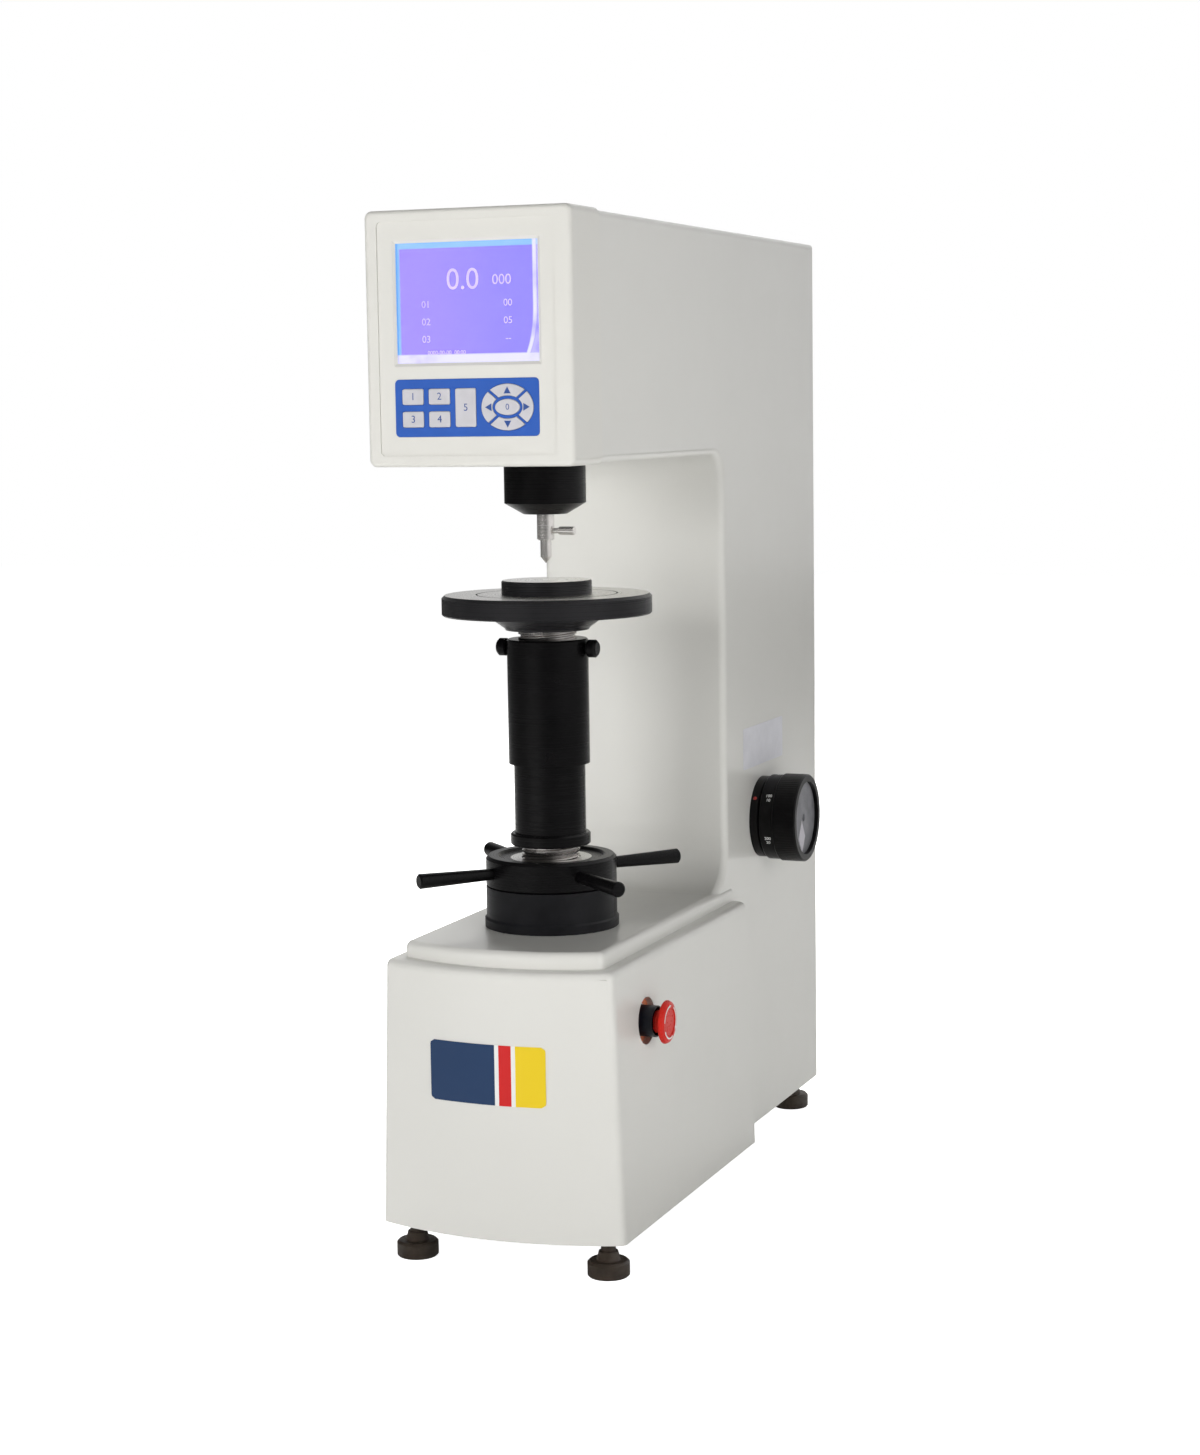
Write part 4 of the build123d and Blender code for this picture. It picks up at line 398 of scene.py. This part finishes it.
GREY_ENAMEL = cast("grey_enamel", ENAMEL_GREY, 0.45, 0.00005)
WEIGHT_IRON = cast("weight_iron", WEIGHT_GREY, 0.5)
FOOT_IRON = cast("foot_iron", FOOT_BROWN, 0.55)
KEYPAD_PRINT = moulded("keypad_print", KEYPAD_BLUE, 0.42, 0.00001)
KEY_PLASTIC = moulded("key_plastic", KEY_GREY, 0.45, 0.00001)
BLACK_PLASTIC = moulded("black_plastic", (0.012, 0.012, 0.013), 0.42)
BARREL_PLASTIC = moulded("barrel_plastic", BARREL_NAVY, 0.38, gloss=0.3)
RED_PLASTIC = moulded("red_plastic", RED, 0.30, 0.000006, gloss=0.14)
FACE_METAL = turned_black("face_metal", FACE_GREY, 0.42, DIAL_CENTRE, "X", groove=0.00003)
LCD_CASE = moulded("lcd_case", (0.10, 0.11, 0.12), 0.4)

NODE_MATERIALS = {
    CREAM_PAINT: ("frame_casting",),
    BEZEL_PAINT: ("head_bezel",),
    COVER_PAINT: ("top_cover", "rear_cover"),
    BLACK_TURNED: ("nose_cover", "handwheel", "handwheel_rods", "sleeve_screw_right", "sleeve_screw_left"),
    BLACK_SLEEVE: ("upper_sleeve", "lower_sleeve"),
    BLACK_DIAL: ("selector_index_ring", "selector_dial", "selector_shaft"),
    BLACK_OXIDE: ("test_table", "elevating_nut"),
    ANVIL_OXIDE: ("flat_anvil",),
    DRUM_BLACK: ("bearing_housing",),
    BRIGHT_STEEL: ("spindle", "indenter", "indenter_screw"),
    SCREW_STEEL: ("elevating_screw",),
    GROUND_STEEL: ("pivot_pin", "weight_hanger", "load_cam", "thrust_bearing", "screw_guide_key"),
    ZINC: ("cover_screws",),
    BRONZE_METAL: ("spindle_guide",),
    GREY_ENAMEL: ("main_lever", "pivot_bracket", "load_motor", "depth_sensor"),
    WEIGHT_IRON: ("weight_lower", "weight_middle", "weight_upper"),
    FOOT_IRON: tuple(name for name in NODES if name.startswith("foot_")),
    KEYPAD_PRINT: ("keypad_overlay",),
    KEY_PLASTIC: tuple(name for name in NODES if "key_" in name and name != "screw_guide_key"),
    BLACK_PLASTIC: ("power_inlet", "power_rocker"),
    BARREL_PLASTIC: ("stop_barrel", "stop_stem"),
    RED_PLASTIC: ("stop_head",),
    FACE_METAL: ("selector_cap",),
    LCD_CASE: ("display_module",),
    circuit_board(): ("main_board",),
    window_glass(): ("display_pane",),
}
for material, names in NODE_MATERIALS.items():
    for name in names:
        for material_slot in NODES[name].material_slots:
            material_slot.material = material


# ---------------------------------------------------------------- mesh helpers
def add_piece(name, mesh, material, body, at=None, sharp=40):
    """Puts a mesh into the scene as a piece that rides on a body."""
    mesh.materials.clear()
    mesh.materials.append(material)
    mesh.polygons.foreach_set("use_smooth", [True] * len(mesh.polygons))
    mesh.set_sharp_from_angle(angle=math.radians(sharp))
    if at is not None:
        mesh.transform(at)
    made = bpy.data.objects.new(name, mesh)
    bpy.context.scene.collection.objects.link(made)
    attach(made, body)
    return made


def mesh_from(name, build):
    """A mesh from a function that fills a bmesh."""
    mesh = bpy.data.meshes.new(name)
    work = bmesh.new()
    build(work)
    bmesh.ops.recalc_face_normals(work, faces=work.faces)
    work.to_mesh(mesh)
    work.free()
    return mesh


def side_frame(place, right, up):
    """Matrix from flat artwork (x right, y up, z outward) to a place on the machine."""
    right, up = Vector(right), Vector(up)
    out = right.cross(up)
    turn = Matrix((right, up, out)).transposed().to_4x4()
    return Matrix.Translation(place) @ turn


def facing_front(x, z, y):
    return side_frame((x, y, z), (1, 0, 0), (0, 0, 1))


def facing_right(y, z, x):
    return side_frame((x, y, z), (0, 1, 0), (0, 0, 1))


def prism(outline, height, bottom=0.0):
    """Mesh of a flat outline raised along z."""
    def build(work):
        face = work.faces.new([work.verts.new((x, y, bottom)) for x, y in outline])
        raised = bmesh.ops.extrude_face_region(work, geom=[face])
        tops = [v for v in raised["geom"] if isinstance(v, bmesh.types.BMVert)]
        bmesh.ops.translate(work, verts=tops, vec=(0, 0, height))
    return mesh_from("prism", build)


def rounded_rectangle(width, height, radius, steps=5):
    """Outline of a rectangle with round corners."""
    points = []
    for corner, (sx, sy) in enumerate(((1, 1), (-1, 1), (-1, -1), (1, -1))):
        for step in range(steps + 1):
            angle = math.pi / 2 * (corner + step / steps)
            points.append((sx * (width / 2 - radius) + radius * math.cos(angle),
                           sy * (height / 2 - radius) + radius * math.sin(angle)))
    return points


def ring_piece(outer, inner, start, end, height, steps=40):
    """Part of a flat ring between two angles in degrees, raised along z."""
    turns = [math.radians(start + (end - start) * i / steps) for i in range(steps + 1)]
    outline = [(outer * math.cos(a), outer * math.sin(a)) for a in turns]
    outline += [(inner * math.cos(a), inner * math.sin(a)) for a in reversed(turns)]
    return prism(outline, height)


def text_mesh(words, size, depth):
    """Raised characters about their own centre."""
    curve = bpy.data.curves.new("text", "FONT")
    curve.body = words
    curve.size = size
    curve.extrude = depth / 2
    curve.align_x = "CENTER"
    curve.align_y = "CENTER"
    carrier = bpy.data.objects.new("text", curve)
    bpy.context.scene.collection.objects.link(carrier)
    bpy.context.view_layer.update()
    evaluated = carrier.evaluated_get(bpy.context.evaluated_depsgraph_get())
    mesh = bpy.data.meshes.new_from_object(evaluated)
    bpy.data.objects.remove(carrier)
    mesh.transform(Matrix.Translation((0, 0, depth / 2)))
    return mesh


def lathe(profile, steps=96, ribs=None, hollow=False):
    """Body turned about z from (radius, height) points; ribs(angle, index) changes a radius."""
    def build(work):
        rings = []
        for index, (radius, height) in enumerate(profile):
            if radius == 0:
                rings.append([work.verts.new((0, 0, height))] * steps)
                continue
            ring = []
            for step in range(steps):
                angle = 2 * math.pi * step / steps
                r = radius + (ribs(angle, index) if ribs else 0.0)
                ring.append(work.verts.new((r * math.cos(angle), r * math.sin(angle), height)))
            rings.append(ring)
        for low, high in zip(rings, rings[1:] + rings[:1] if hollow else rings[1:]):
            for step in range(steps):
                following = (step + 1) % steps
                corners = [low[step], low[following], high[following], high[step]]
                work.faces.new(list(dict.fromkeys(corners)))
    return mesh_from("lathe", build)


# ---------------------------------------------------------------- screen
WINDOW_LAP = 4.0 * MM
INK = 0.06 * MM


def screen():
    """Lit field behind the window with plain numbers on it."""
    low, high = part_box("display_pane")
    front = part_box("display_module")[0].y
    middle = (low + high) / 2
    width = high.x - low.x - 2 * WINDOW_LAP
    height = high.z - low.z - 2 * WINDOW_LAP
    gap = (high.y - front) / 2
    material = screen_field((middle.x, 0, middle.z), width / 2, height / 2)
    field = prism(rounded_rectangle(width + WINDOW_LAP, height + WINDOW_LAP, 1 * MM), INK)
    place = facing_front(middle.x, middle.z, front - gap)
    add_piece("screen_field", field, material, "frame", place)
    text = glowing("screen_text", SCREEN_TEXT, 0.88)
    left, top = middle.x - width / 2, middle.z + height / 2
    rows = (("0.0", 46, 24, 19), ("000", 73, 24.5, 9),
            ("01", 20, 39, 6.2), ("00", 77, 39, 6.2), ("02", 20, 50, 6.2), ("05", 77, 50, 6.2),
            ("03", 20, 61, 6.2), ("--", 77, 61, 6.2), ("0000-00-00  00:00", 34, 69.5, 3.6))
    for words, across, down, size in rows:
        name = "screen_number_%d_%d" % (across, down)
        place = facing_front(left + across * MM, top - down * MM, front - gap - INK)
        add_piece(name, text_mesh(words, size * MM, INK), text, "frame", place)


# ---------------------------------------------------------------- keypad marks
NUMBERED_KEYS = ("key_upper_left", "key_upper_right", "key_lower_left", "key_lower_right", "key_tall")


def key_marks():
    """Plain numbers on the keys, triangles on the arrow keys and a ring on the middle one."""
    ink = printed("key_ink", KEY_MARK)
    for number, name in enumerate(NUMBERED_KEYS):
        low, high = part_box(name)
        place = facing_front((low.x + high.x) / 2, (low.z + high.z) / 2, low.y)
        add_piece("mark_" + name, text_mesh(str(number + 1), 6.6 * MM, INK), ink, name, place)
    size = 2.6 * MM
    triangle = [(size, 0), (-0.7 * size, size * 0.95), (-0.7 * size, -size * 0.95)]
    for turn, side in enumerate(("right", "up", "left", "down")):
        name = "arrow_key_" + side
        low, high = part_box(name)
        place = facing_front((low.x + high.x) / 2, (low.z + high.z) / 2, low.y)
        mark = prism(triangle, INK)
        mark.transform(Matrix.Rotation(turn * math.pi / 2, 4, "Z"))
        add_piece("mark_" + name, mark, ink, name, place)
    low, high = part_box("key_centre")
    place = facing_front((low.x + high.x) / 2, (low.z + high.z) / 2, low.y)
    add_piece("number_key_centre", text_mesh("0", 5.4 * MM, INK), ink, "key_centre", place)


# ---------------------------------------------------------------- elevating screw
THREAD_LEAD = 6.0 * MM
THREAD_DEPTH = 1.5 * MM
KEYWAY_HALF = 3.0 * MM
KEYWAY_DEPTH = 3.0 * MM
THREAD_STARTS = 2
THREAD_STEPS = 60
THREAD_FORM = ((0.0, 0.0), (0.16, 1.0), (0.50, 1.0), (0.66, 0.0))   # share of a ridge, share of depth
THREAD_PROFILE = [((start + share) / THREAD_STARTS, depth)
                  for start in range(THREAD_STARTS) for share, depth in THREAD_FORM]


def elevating_screw():
    """Threaded screw in place of its plain bar, with the keyway at the back."""
    low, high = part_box("elevating_screw")
    radius = (high.x - low.x) / 2
    keyway = math.asin(KEYWAY_HALF / radius)
    back = math.pi / 2
    edges = [back - keyway * 1.02, back - keyway * 0.98, back + keyway * 0.98, back + keyway * 1.02]
    round_angles = [2 * math.pi * i / THREAD_STEPS for i in range(THREAD_STEPS)]
    angles = sorted([angle for angle in round_angles if abs(angle - back) > keyway * 1.1] + edges)
    turns = math.ceil((high.z - low.z) / THREAD_LEAD) + 2
    start = low.z - THREAD_LEAD

    def build(work):
        rings = []
        for turn in range(turns):
            for angle in angles:
                ring = []
                for share, depth in THREAD_PROFILE:
                    r = radius - THREAD_DEPTH * depth
                    if abs(angle - back) < keyway:
                        r = min(r, (radius - KEYWAY_DEPTH) / math.cos(angle - back))
                    z = start + THREAD_LEAD * (turn + angle / (2 * math.pi) + share)
                    z = min(max(z, low.z), high.z)
                    ring.append(work.verts.new((r * math.cos(angle), r * math.sin(angle), z)))
                rings.append(ring)
        ahead = len(angles)
        for i in range(len(rings) - 1):
            for j in range(len(THREAD_PROFILE) - 1):
                work.faces.new((rings[i][j], rings[i + 1][j], rings[i + 1][j + 1], rings[i][j + 1]))
            if i + 1 + ahead < len(rings):
                last = len(THREAD_PROFILE) - 1
                work.faces.new((rings[i][last], rings[i + 1][last],
                                rings[i + 1 + ahead][0], rings[i + ahead][0]))
        bmesh.ops.remove_doubles(work, verts=work.verts, dist=1e-6)
        bmesh.ops.dissolve_degenerate(work, edges=work.edges, dist=1e-6)

    mesh = mesh_from("thread", build)
    made = add_piece("elevating_screw_thread", mesh, SCREW_STEEL, "elevating",
                     Matrix.Translation(TEST_AXIS))
    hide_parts("elevating_screw")


# ---------------------------------------------------------------- force dial
GRIP_RADIUS = 33.2 * MM
SCALE_RADIUS = 32.2 * MM
SCALE_WIDTH = 10.2 * MM
SCALE_CHAMFER = 0.8 * MM
GRIP_STEP = 1.0 * MM
GRIP_RIM = 5.5 * MM
GRIP_RIBS = 90
RIB_DEPTH = 0.22 * MM
INDEX_ANGLE = 146           # degrees from the back, over the top, to the front


def ribbed_dial():
    """Dial in place of its plain body, with fine ribs along the grip."""
    dial_low, dial_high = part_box("selector_dial")
    length = dial_high.x - dial_low.x
    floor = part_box("selector_cap")[0].x - dial_low.x
    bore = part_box("selector_shaft")
    hole = (bore[1].z - bore[0].z) / 2 + 0.05 * MM
    inner = GRIP_RADIUS - GRIP_RIM
    profile = ((hole, 0), (SCALE_RADIUS - SCALE_CHAMFER, 0),
               (SCALE_RADIUS, SCALE_CHAMFER), (SCALE_RADIUS, SCALE_WIDTH),
               (GRIP_RADIUS, SCALE_WIDTH + GRIP_STEP), (GRIP_RADIUS, SCALE_WIDTH + 1.5 * GRIP_STEP),
               (GRIP_RADIUS, length - 2.5 * GRIP_STEP), (GRIP_RADIUS, length - 2 * GRIP_STEP),
               (GRIP_RADIUS, length - GRIP_STEP), (GRIP_RADIUS - GRIP_STEP, length),
               (inner, length), (inner, floor), (hole, floor))

    def ribs(angle, index):
        ribbed = index in (5, 6)
        return -RIB_DEPTH * (0.5 + 0.5 * math.cos(GRIP_RIBS * angle)) if ribbed else 0.0

    place = side_frame((dial_low.x, DIAL_CENTRE.y, DIAL_CENTRE.z), (0, 1, 0), (0, 0, 1))
    mesh = lathe(profile, GRIP_RIBS * 4, ribs, True)
    made = add_piece("ribbed_dial", mesh, BLACK_DIAL, "selector", place)
    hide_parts("selector_dial")


def dial_marks():
    """Red index mark on the fixed ring, and plain numbers round the number ring."""
    ring_low, ring_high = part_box("selector_index_ring")
    dial_low, dial_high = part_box("selector_dial")
    centre = Vector((0, DIAL_CENTRE.y, DIAL_CENTRE.z))
    index_radius = (ring_high.z - ring_low.z) / 2
    index_angle = math.radians(INDEX_ANGLE)
    white = printed("white_print", WHITE_PRINT)
    profile = [(0, 0)] + [(1.45 * MM * math.sin(math.radians(a)), 0.75 * MM * math.cos(math.radians(a)))
                          for a in (90, 60, 30, 0)]
    dot = lathe(profile, 24)
    radial = Vector((0, math.cos(index_angle), math.sin(index_angle)))
    x = ring_high.x - 4.1 * MM
    along = Vector((1, 0, 0))
    place = side_frame(centre + radial * index_radius + x * along, along, radial.cross(along))
    enamel = moulded("red_dot", DOT_RED, 0.25, coat=0.4)
    add_piece("index_dot", dot, enamel, "frame", place)
    radius = (dial_high.z - dial_low.z) / 2 - 1.0 * MM
    for number in range(6):
        turn = index_angle + math.radians(60 * number - 3)
        for line, words in enumerate((str(100 * (number + 1)), str(10 * (number + 1)))):
            mesh = text_mesh(words, 3.4 * MM, INK)
            offset = dial_low.x + 6.4 * MM
            for vertex in mesh.vertices:
                across, up, out = vertex.co
                angle = turn - (up - line * 3.6 * MM) / radius
                r = radius + out
                vertex.co = centre + Vector((offset + across, r * math.cos(angle), r * math.sin(angle)))
            add_piece("dial_number_%d_%d" % (number, line), mesh, white, "selector")


# ---------------------------------------------------------------- stop button marks
STOP_ARC_RADIUS = 10.9 * MM
STOP_ARC_WIDTH = 1.1 * MM
STOP_POCKET_RADIUS = 16.0 * MM
STOP_POCKET_DEPTH = 5.0 * MM
STOP_BARREL_REACH = 7.6 * MM


def stop_marks():
    """Turn arrows on the red head, and the raw metal edge inside its pocket."""
    low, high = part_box("stop_head")
    white = printed("stop_print", WHITE_PRINT)
    centre = (low + high) / 2
    face = facing_right(centre.y, centre.z, high.x)
    middle, half = STOP_ARC_RADIUS, STOP_ARC_WIDTH / 2
    for i in range(3):
        start = 95 + 120 * i
        arc = ring_piece(middle + half, middle - half, start, start + 78, INK)
        add_piece("stop_arc_%d" % i, arc, white, "stop_head", face)
        tip = math.radians(start)
        away = Vector((math.cos(tip), math.sin(tip)))
        forward = Vector((math.sin(tip), -math.cos(tip)))
        corners = [away * (middle + 2 * half), away * (middle - 2 * half), away * middle + forward * 5 * half]
        add_piece("stop_arrow_%d" % i, prism(corners, INK), white, "stop_head", face)
    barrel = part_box("stop_barrel")[1].x
    edge = moulded("pocket_edge", POCKET_EDGE, 0.45)
    outer, inner = STOP_POCKET_RADIUS - 0.1 * MM, STOP_POCKET_RADIUS - 4.6 * MM
    ring = ring_piece(outer, inner, 0, 359.9, 0.4 * MM, 72)
    place = facing_right(centre.y, centre.z, barrel - STOP_BARREL_REACH - STOP_POCKET_DEPTH)
    add_piece("pocket_washer", ring, edge, "frame", place)


# ---------------------------------------------------------------- badge and labels
BEZEL_PROUD = 1.2 * MM
LABEL_WIDTH = 95.0 * MM
LABEL_HEIGHT = 31.0 * MM
LABEL_BACK = 4.0 * MM
LABEL_RISE = 56.0 * MM


def casting_tree():
    """Search tree of the casting's mesh, to lay plates on its curved front."""
    mesh = NODES["frame_casting"].data
    return BVHTree.FromPolygons([v.co for v in mesh.vertices], [p.vertices for p in mesh.polygons])


def badge():
    """Plain plate with upright stripes that follows the bowed front of the base."""
    tree = casting_tree()
    left, right, bottom, top = -53.5 * MM, 29.5 * MM, 118.0 * MM, 158.5 * MM
    thickness = 0.6 * MM
    columns, rows = 20, 24
    radius = 3.0 * MM
    stripes = ((0.0, 0.58, BADGE_NAVY), (0.58, 0.615, WHITE_PRINT), (0.615, 0.72, BADGE_RED),
               (0.72, 0.755, WHITE_PRINT), (0.755, 1.0, BADGE_YELLOW))
    for index, (start, end, colour) in enumerate(stripes):
        def build(work, start=start, end=end):
            grid = []
            for row in range(rows + 1):
                z = bottom + (top - bottom) * row / rows
                edge = min(z - bottom, top - z)
                inset = radius - math.sqrt(max(0.0, radius ** 2 - max(0.0, radius - edge) ** 2))
                low = max(left + (right - left) * start, left + inset)
                high = min(left + (right - left) * end, right - inset)
                line = []
                for column in range(columns + 1):
                    x = low + (high - low) * column / columns
                    hit = tree.ray_cast(Vector((x, -0.5, z)), Vector((0, 1, 0)))[0]
                    line.append((x, hit.y, z))
                grid.append(line)
            front = [[work.verts.new((x, y - thickness, z)) for x, y, z in line] for line in grid]
            back = [[work.verts.new((x, y, z)) for x, y, z in line] for line in grid]
            for r in range(rows):
                for c in range(columns):
                    for layer in (front, back):
                        work.faces.new((layer[r][c], layer[r][c + 1], layer[r + 1][c + 1], layer[r + 1][c]))
            rim = [(0, c) for c in range(columns)] + [(r, columns) for r in range(rows)]
            rim += [(rows, c) for c in range(columns, 0, -1)] + [(r, 0) for r in range(rows, 0, -1)]
            for (r, c), (r2, c2) in zip(rim, rim[1:] + rim[:1]):
                work.faces.new((front[r][c], front[r2][c2], back[r2][c2], back[r][c]))
        made = Shader("badge_%d" % index, colour, 0.42, Specular_IOR_Level=0.35)
        made.vary_colour(made.noise(14.0, 1.0), 0.03)
        stripe = mesh_from("badge", build)
        add_piece("badge_stripe_%d" % index, stripe, made.material, "frame", sharp=30)


def stickers():
    """Blank label above the force dial and a blank diamond on the dial's face."""
    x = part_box("selector_index_ring")[0].x
    paper = moulded("label_paper", LABEL_GREY, 0.5, 0.000004)
    casting_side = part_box("head_bezel")[1].x - BEZEL_PROUD
    label = prism(rounded_rectangle(LABEL_WIDTH, LABEL_HEIGHT, 1.5 * MM), 0.15 * MM)
    add_piece("blank_label", label, paper, "frame",
              facing_right(DIAL_CENTRE.y + LABEL_BACK, DIAL_CENTRE.z + LABEL_RISE, casting_side))
    diamond = [(8.0 * MM, 0), (0, 13.0 * MM), (-8.0 * MM, 0), (0, -13.0 * MM)]
    foil = moulded("sticker_foil", STICKER_GREY, 0.35, 0.000004)
    add_piece("blank_diamond", prism(diamond, 0.1 * MM), foil, "selector",
              facing_right(DIAL_CENTRE.y - 5.0 * MM, DIAL_CENTRE.z - 14.5 * MM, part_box("selector_cap")[1].x))


screen()
key_marks()
elevating_screw()
ribbed_dial()
dial_marks()
stop_marks()
badge()
stickers()


# ---------------------------------------------------------------- stage
def stage_floor():
    """White floor that keeps the machine's shadow."""
    mesh = bpy.data.meshes.new("floor")
    half = FLOOR_SIZE / 2
    corners = [(-half, -half, 0), (half, -half, 0), (half, half, 0), (-half, half, 0)]
    mesh.from_pydata(corners, [], [(0, 1, 2, 3)])
    floor = bpy.data.objects.new("floor", mesh)
    bpy.context.scene.collection.objects.link(floor)
    made = Shader("floor", (0.80, 0.80, 0.79), 0.9, Specular_IOR_Level=0.0)
    path = made.node("ShaderNodeLightPath")
    glow = made.node("ShaderNodeEmission", Color=(1, 1, 1, 1), Strength=FLOOR_GLOW)
    lit = made.node("ShaderNodeMath", operation="MAXIMUM")
    made.link(path.outputs["Is Camera Ray"], lit.inputs[0])
    made.link(path.outputs["Is Transmission Ray"], lit.inputs[1])
    both = made.node("ShaderNodeAddShader")
    made.link(made.bsdf.outputs[0], both.inputs[0])
    made.link(glow.outputs[0], both.inputs[1])
    mix = made.node("ShaderNodeMixShader")
    made.link(lit.outputs[0], mix.inputs[0])
    made.link(made.bsdf.outputs[0], mix.inputs[1])
    made.link(both.outputs[0], mix.inputs[2])
    made.link(mix.outputs[0], made.tree.nodes["Material Output"].inputs["Surface"])
    mesh.materials.append(made.material)


def world():
    """White surroundings for the eye and for reflections, and a softer ambient light."""
    scene_world = bpy.data.worlds.new("studio")
    bpy.context.scene.world = scene_world
    scene_world.use_nodes = True
    tree = scene_world.node_tree
    ambient = tree.nodes["Background"]
    ambient.inputs["Color"].default_value = (1.0, 0.995, 0.98, 1)
    ambient.inputs["Strength"].default_value = AMBIENT
    white = tree.nodes.new("ShaderNodeBackground")
    white.inputs["Color"].default_value = (1, 1, 1, 1)
    path = tree.nodes.new("ShaderNodeLightPath")
    direction = tree.nodes.new("ShaderNodeTexCoord")
    towards = tree.nodes.new("ShaderNodeVectorMath")
    towards.operation = "DOT_PRODUCT"
    towards.inputs[1].default_value = BRIGHT_SIDE
    tree.links.new(direction.outputs["Generated"], towards.inputs[0])
    spread = tree.nodes.new("ShaderNodeMapRange")
    spread.interpolation_type = "SMOOTHSTEP"
    spread.inputs["From Min"].default_value = -0.25
    spread.inputs["From Max"].default_value = 0.75
    spread.inputs["To Min"].default_value = DARK_SIDE
    tree.links.new(towards.outputs["Value"], spread.inputs["Value"])
    room = tree.nodes.new("ShaderNodeMix")
    room.inputs["A"].default_value = 1.0
    tree.links.new(path.outputs["Is Glossy Ray"], room.inputs["Factor"])
    tree.links.new(spread.outputs["Result"], room.inputs["B"])
    tree.links.new(room.outputs["Result"], white.inputs["Strength"])
    seen = tree.nodes.new("ShaderNodeMath")
    seen.operation = "MAXIMUM"
    lit = tree.nodes.new("ShaderNodeMath")
    lit.operation = "MAXIMUM"
    mix = tree.nodes.new("ShaderNodeMixShader")
    tree.links.new(path.outputs["Is Camera Ray"], seen.inputs[0])
    tree.links.new(path.outputs["Is Glossy Ray"], seen.inputs[1])
    tree.links.new(seen.outputs[0], lit.inputs[0])
    tree.links.new(path.outputs["Is Transmission Ray"], lit.inputs[1])
    tree.links.new(lit.outputs[0], mix.inputs[0])
    tree.links.new(ambient.outputs[0], mix.inputs[1])
    tree.links.new(white.outputs[0], mix.inputs[2])
    tree.links.new(mix.outputs[0], tree.nodes["World Output"].inputs["Surface"])


def softbox(name, place, target, width, height, power, colour=(1, 1, 1)):
    """Rectangular area lamp aimed at a point."""
    lamp = bpy.data.lights.new(name, "AREA")
    lamp.shape = "RECTANGLE"
    lamp.size = width
    lamp.size_y = height
    lamp.energy = power
    lamp.color = colour
    made = bpy.data.objects.new(name, lamp)
    made.visible_glossy = False
    made.location = place
    made.rotation_euler = (Vector(target) - Vector(place)).to_track_quat("-Z", "Y").to_euler()
    bpy.context.scene.collection.objects.link(made)


def camera():
    """Camera at the photograph's place and angle."""
    data = bpy.data.cameras.new("camera")
    data.lens = CAMERA_LENS
    data.sensor_width = SENSOR
    data.shift_x = CAMERA_SHIFT
    data.clip_start = 0.05
    data.clip_end = 50
    made = bpy.data.objects.new("camera", data)
    forward = Vector((-math.sin(CAMERA_YAW) * math.cos(CAMERA_PITCH),
                      math.cos(CAMERA_YAW) * math.cos(CAMERA_PITCH), -math.sin(CAMERA_PITCH)))
    level = Vector((math.cos(CAMERA_YAW), math.sin(CAMERA_YAW), 0))
    upright = level.cross(forward)
    right = math.cos(CAMERA_ROLL) * level + math.sin(CAMERA_ROLL) * upright
    up = -math.sin(CAMERA_ROLL) * level + math.cos(CAMERA_ROLL) * upright
    turn = Matrix((right, up, -forward)).transposed().to_4x4()
    made.matrix_world = Matrix.Translation(CAMERA_PLACE) @ turn
    bpy.context.scene.collection.objects.link(made)
    bpy.context.scene.camera = made


stage_floor()
world()
middle = (0, 0, 0.4)
softbox("key_light", (-1.0, -2.6, 0.75), middle, 1.6, 1.3, KEY_LIGHT)
softbox("top_light", (-0.2, -1.5, 2.3), middle, 1.2, 1.2, TOP_LIGHT)
softbox("side_light", (2.5, 0.1, 1.1), middle, 1.4, 1.4, SIDE_LIGHT)
softbox("fill_light", (0.95, -0.60, 0.42), (0, 0.10, 0.36), 0.7, 0.7, FILL_LIGHT)
softbox("back_light", (-0.6, 2.2, 2.0), middle, 1.4, 1.4, BACK_LIGHT)
camera()
bpy.context.scene.view_settings.view_transform = "Standard"
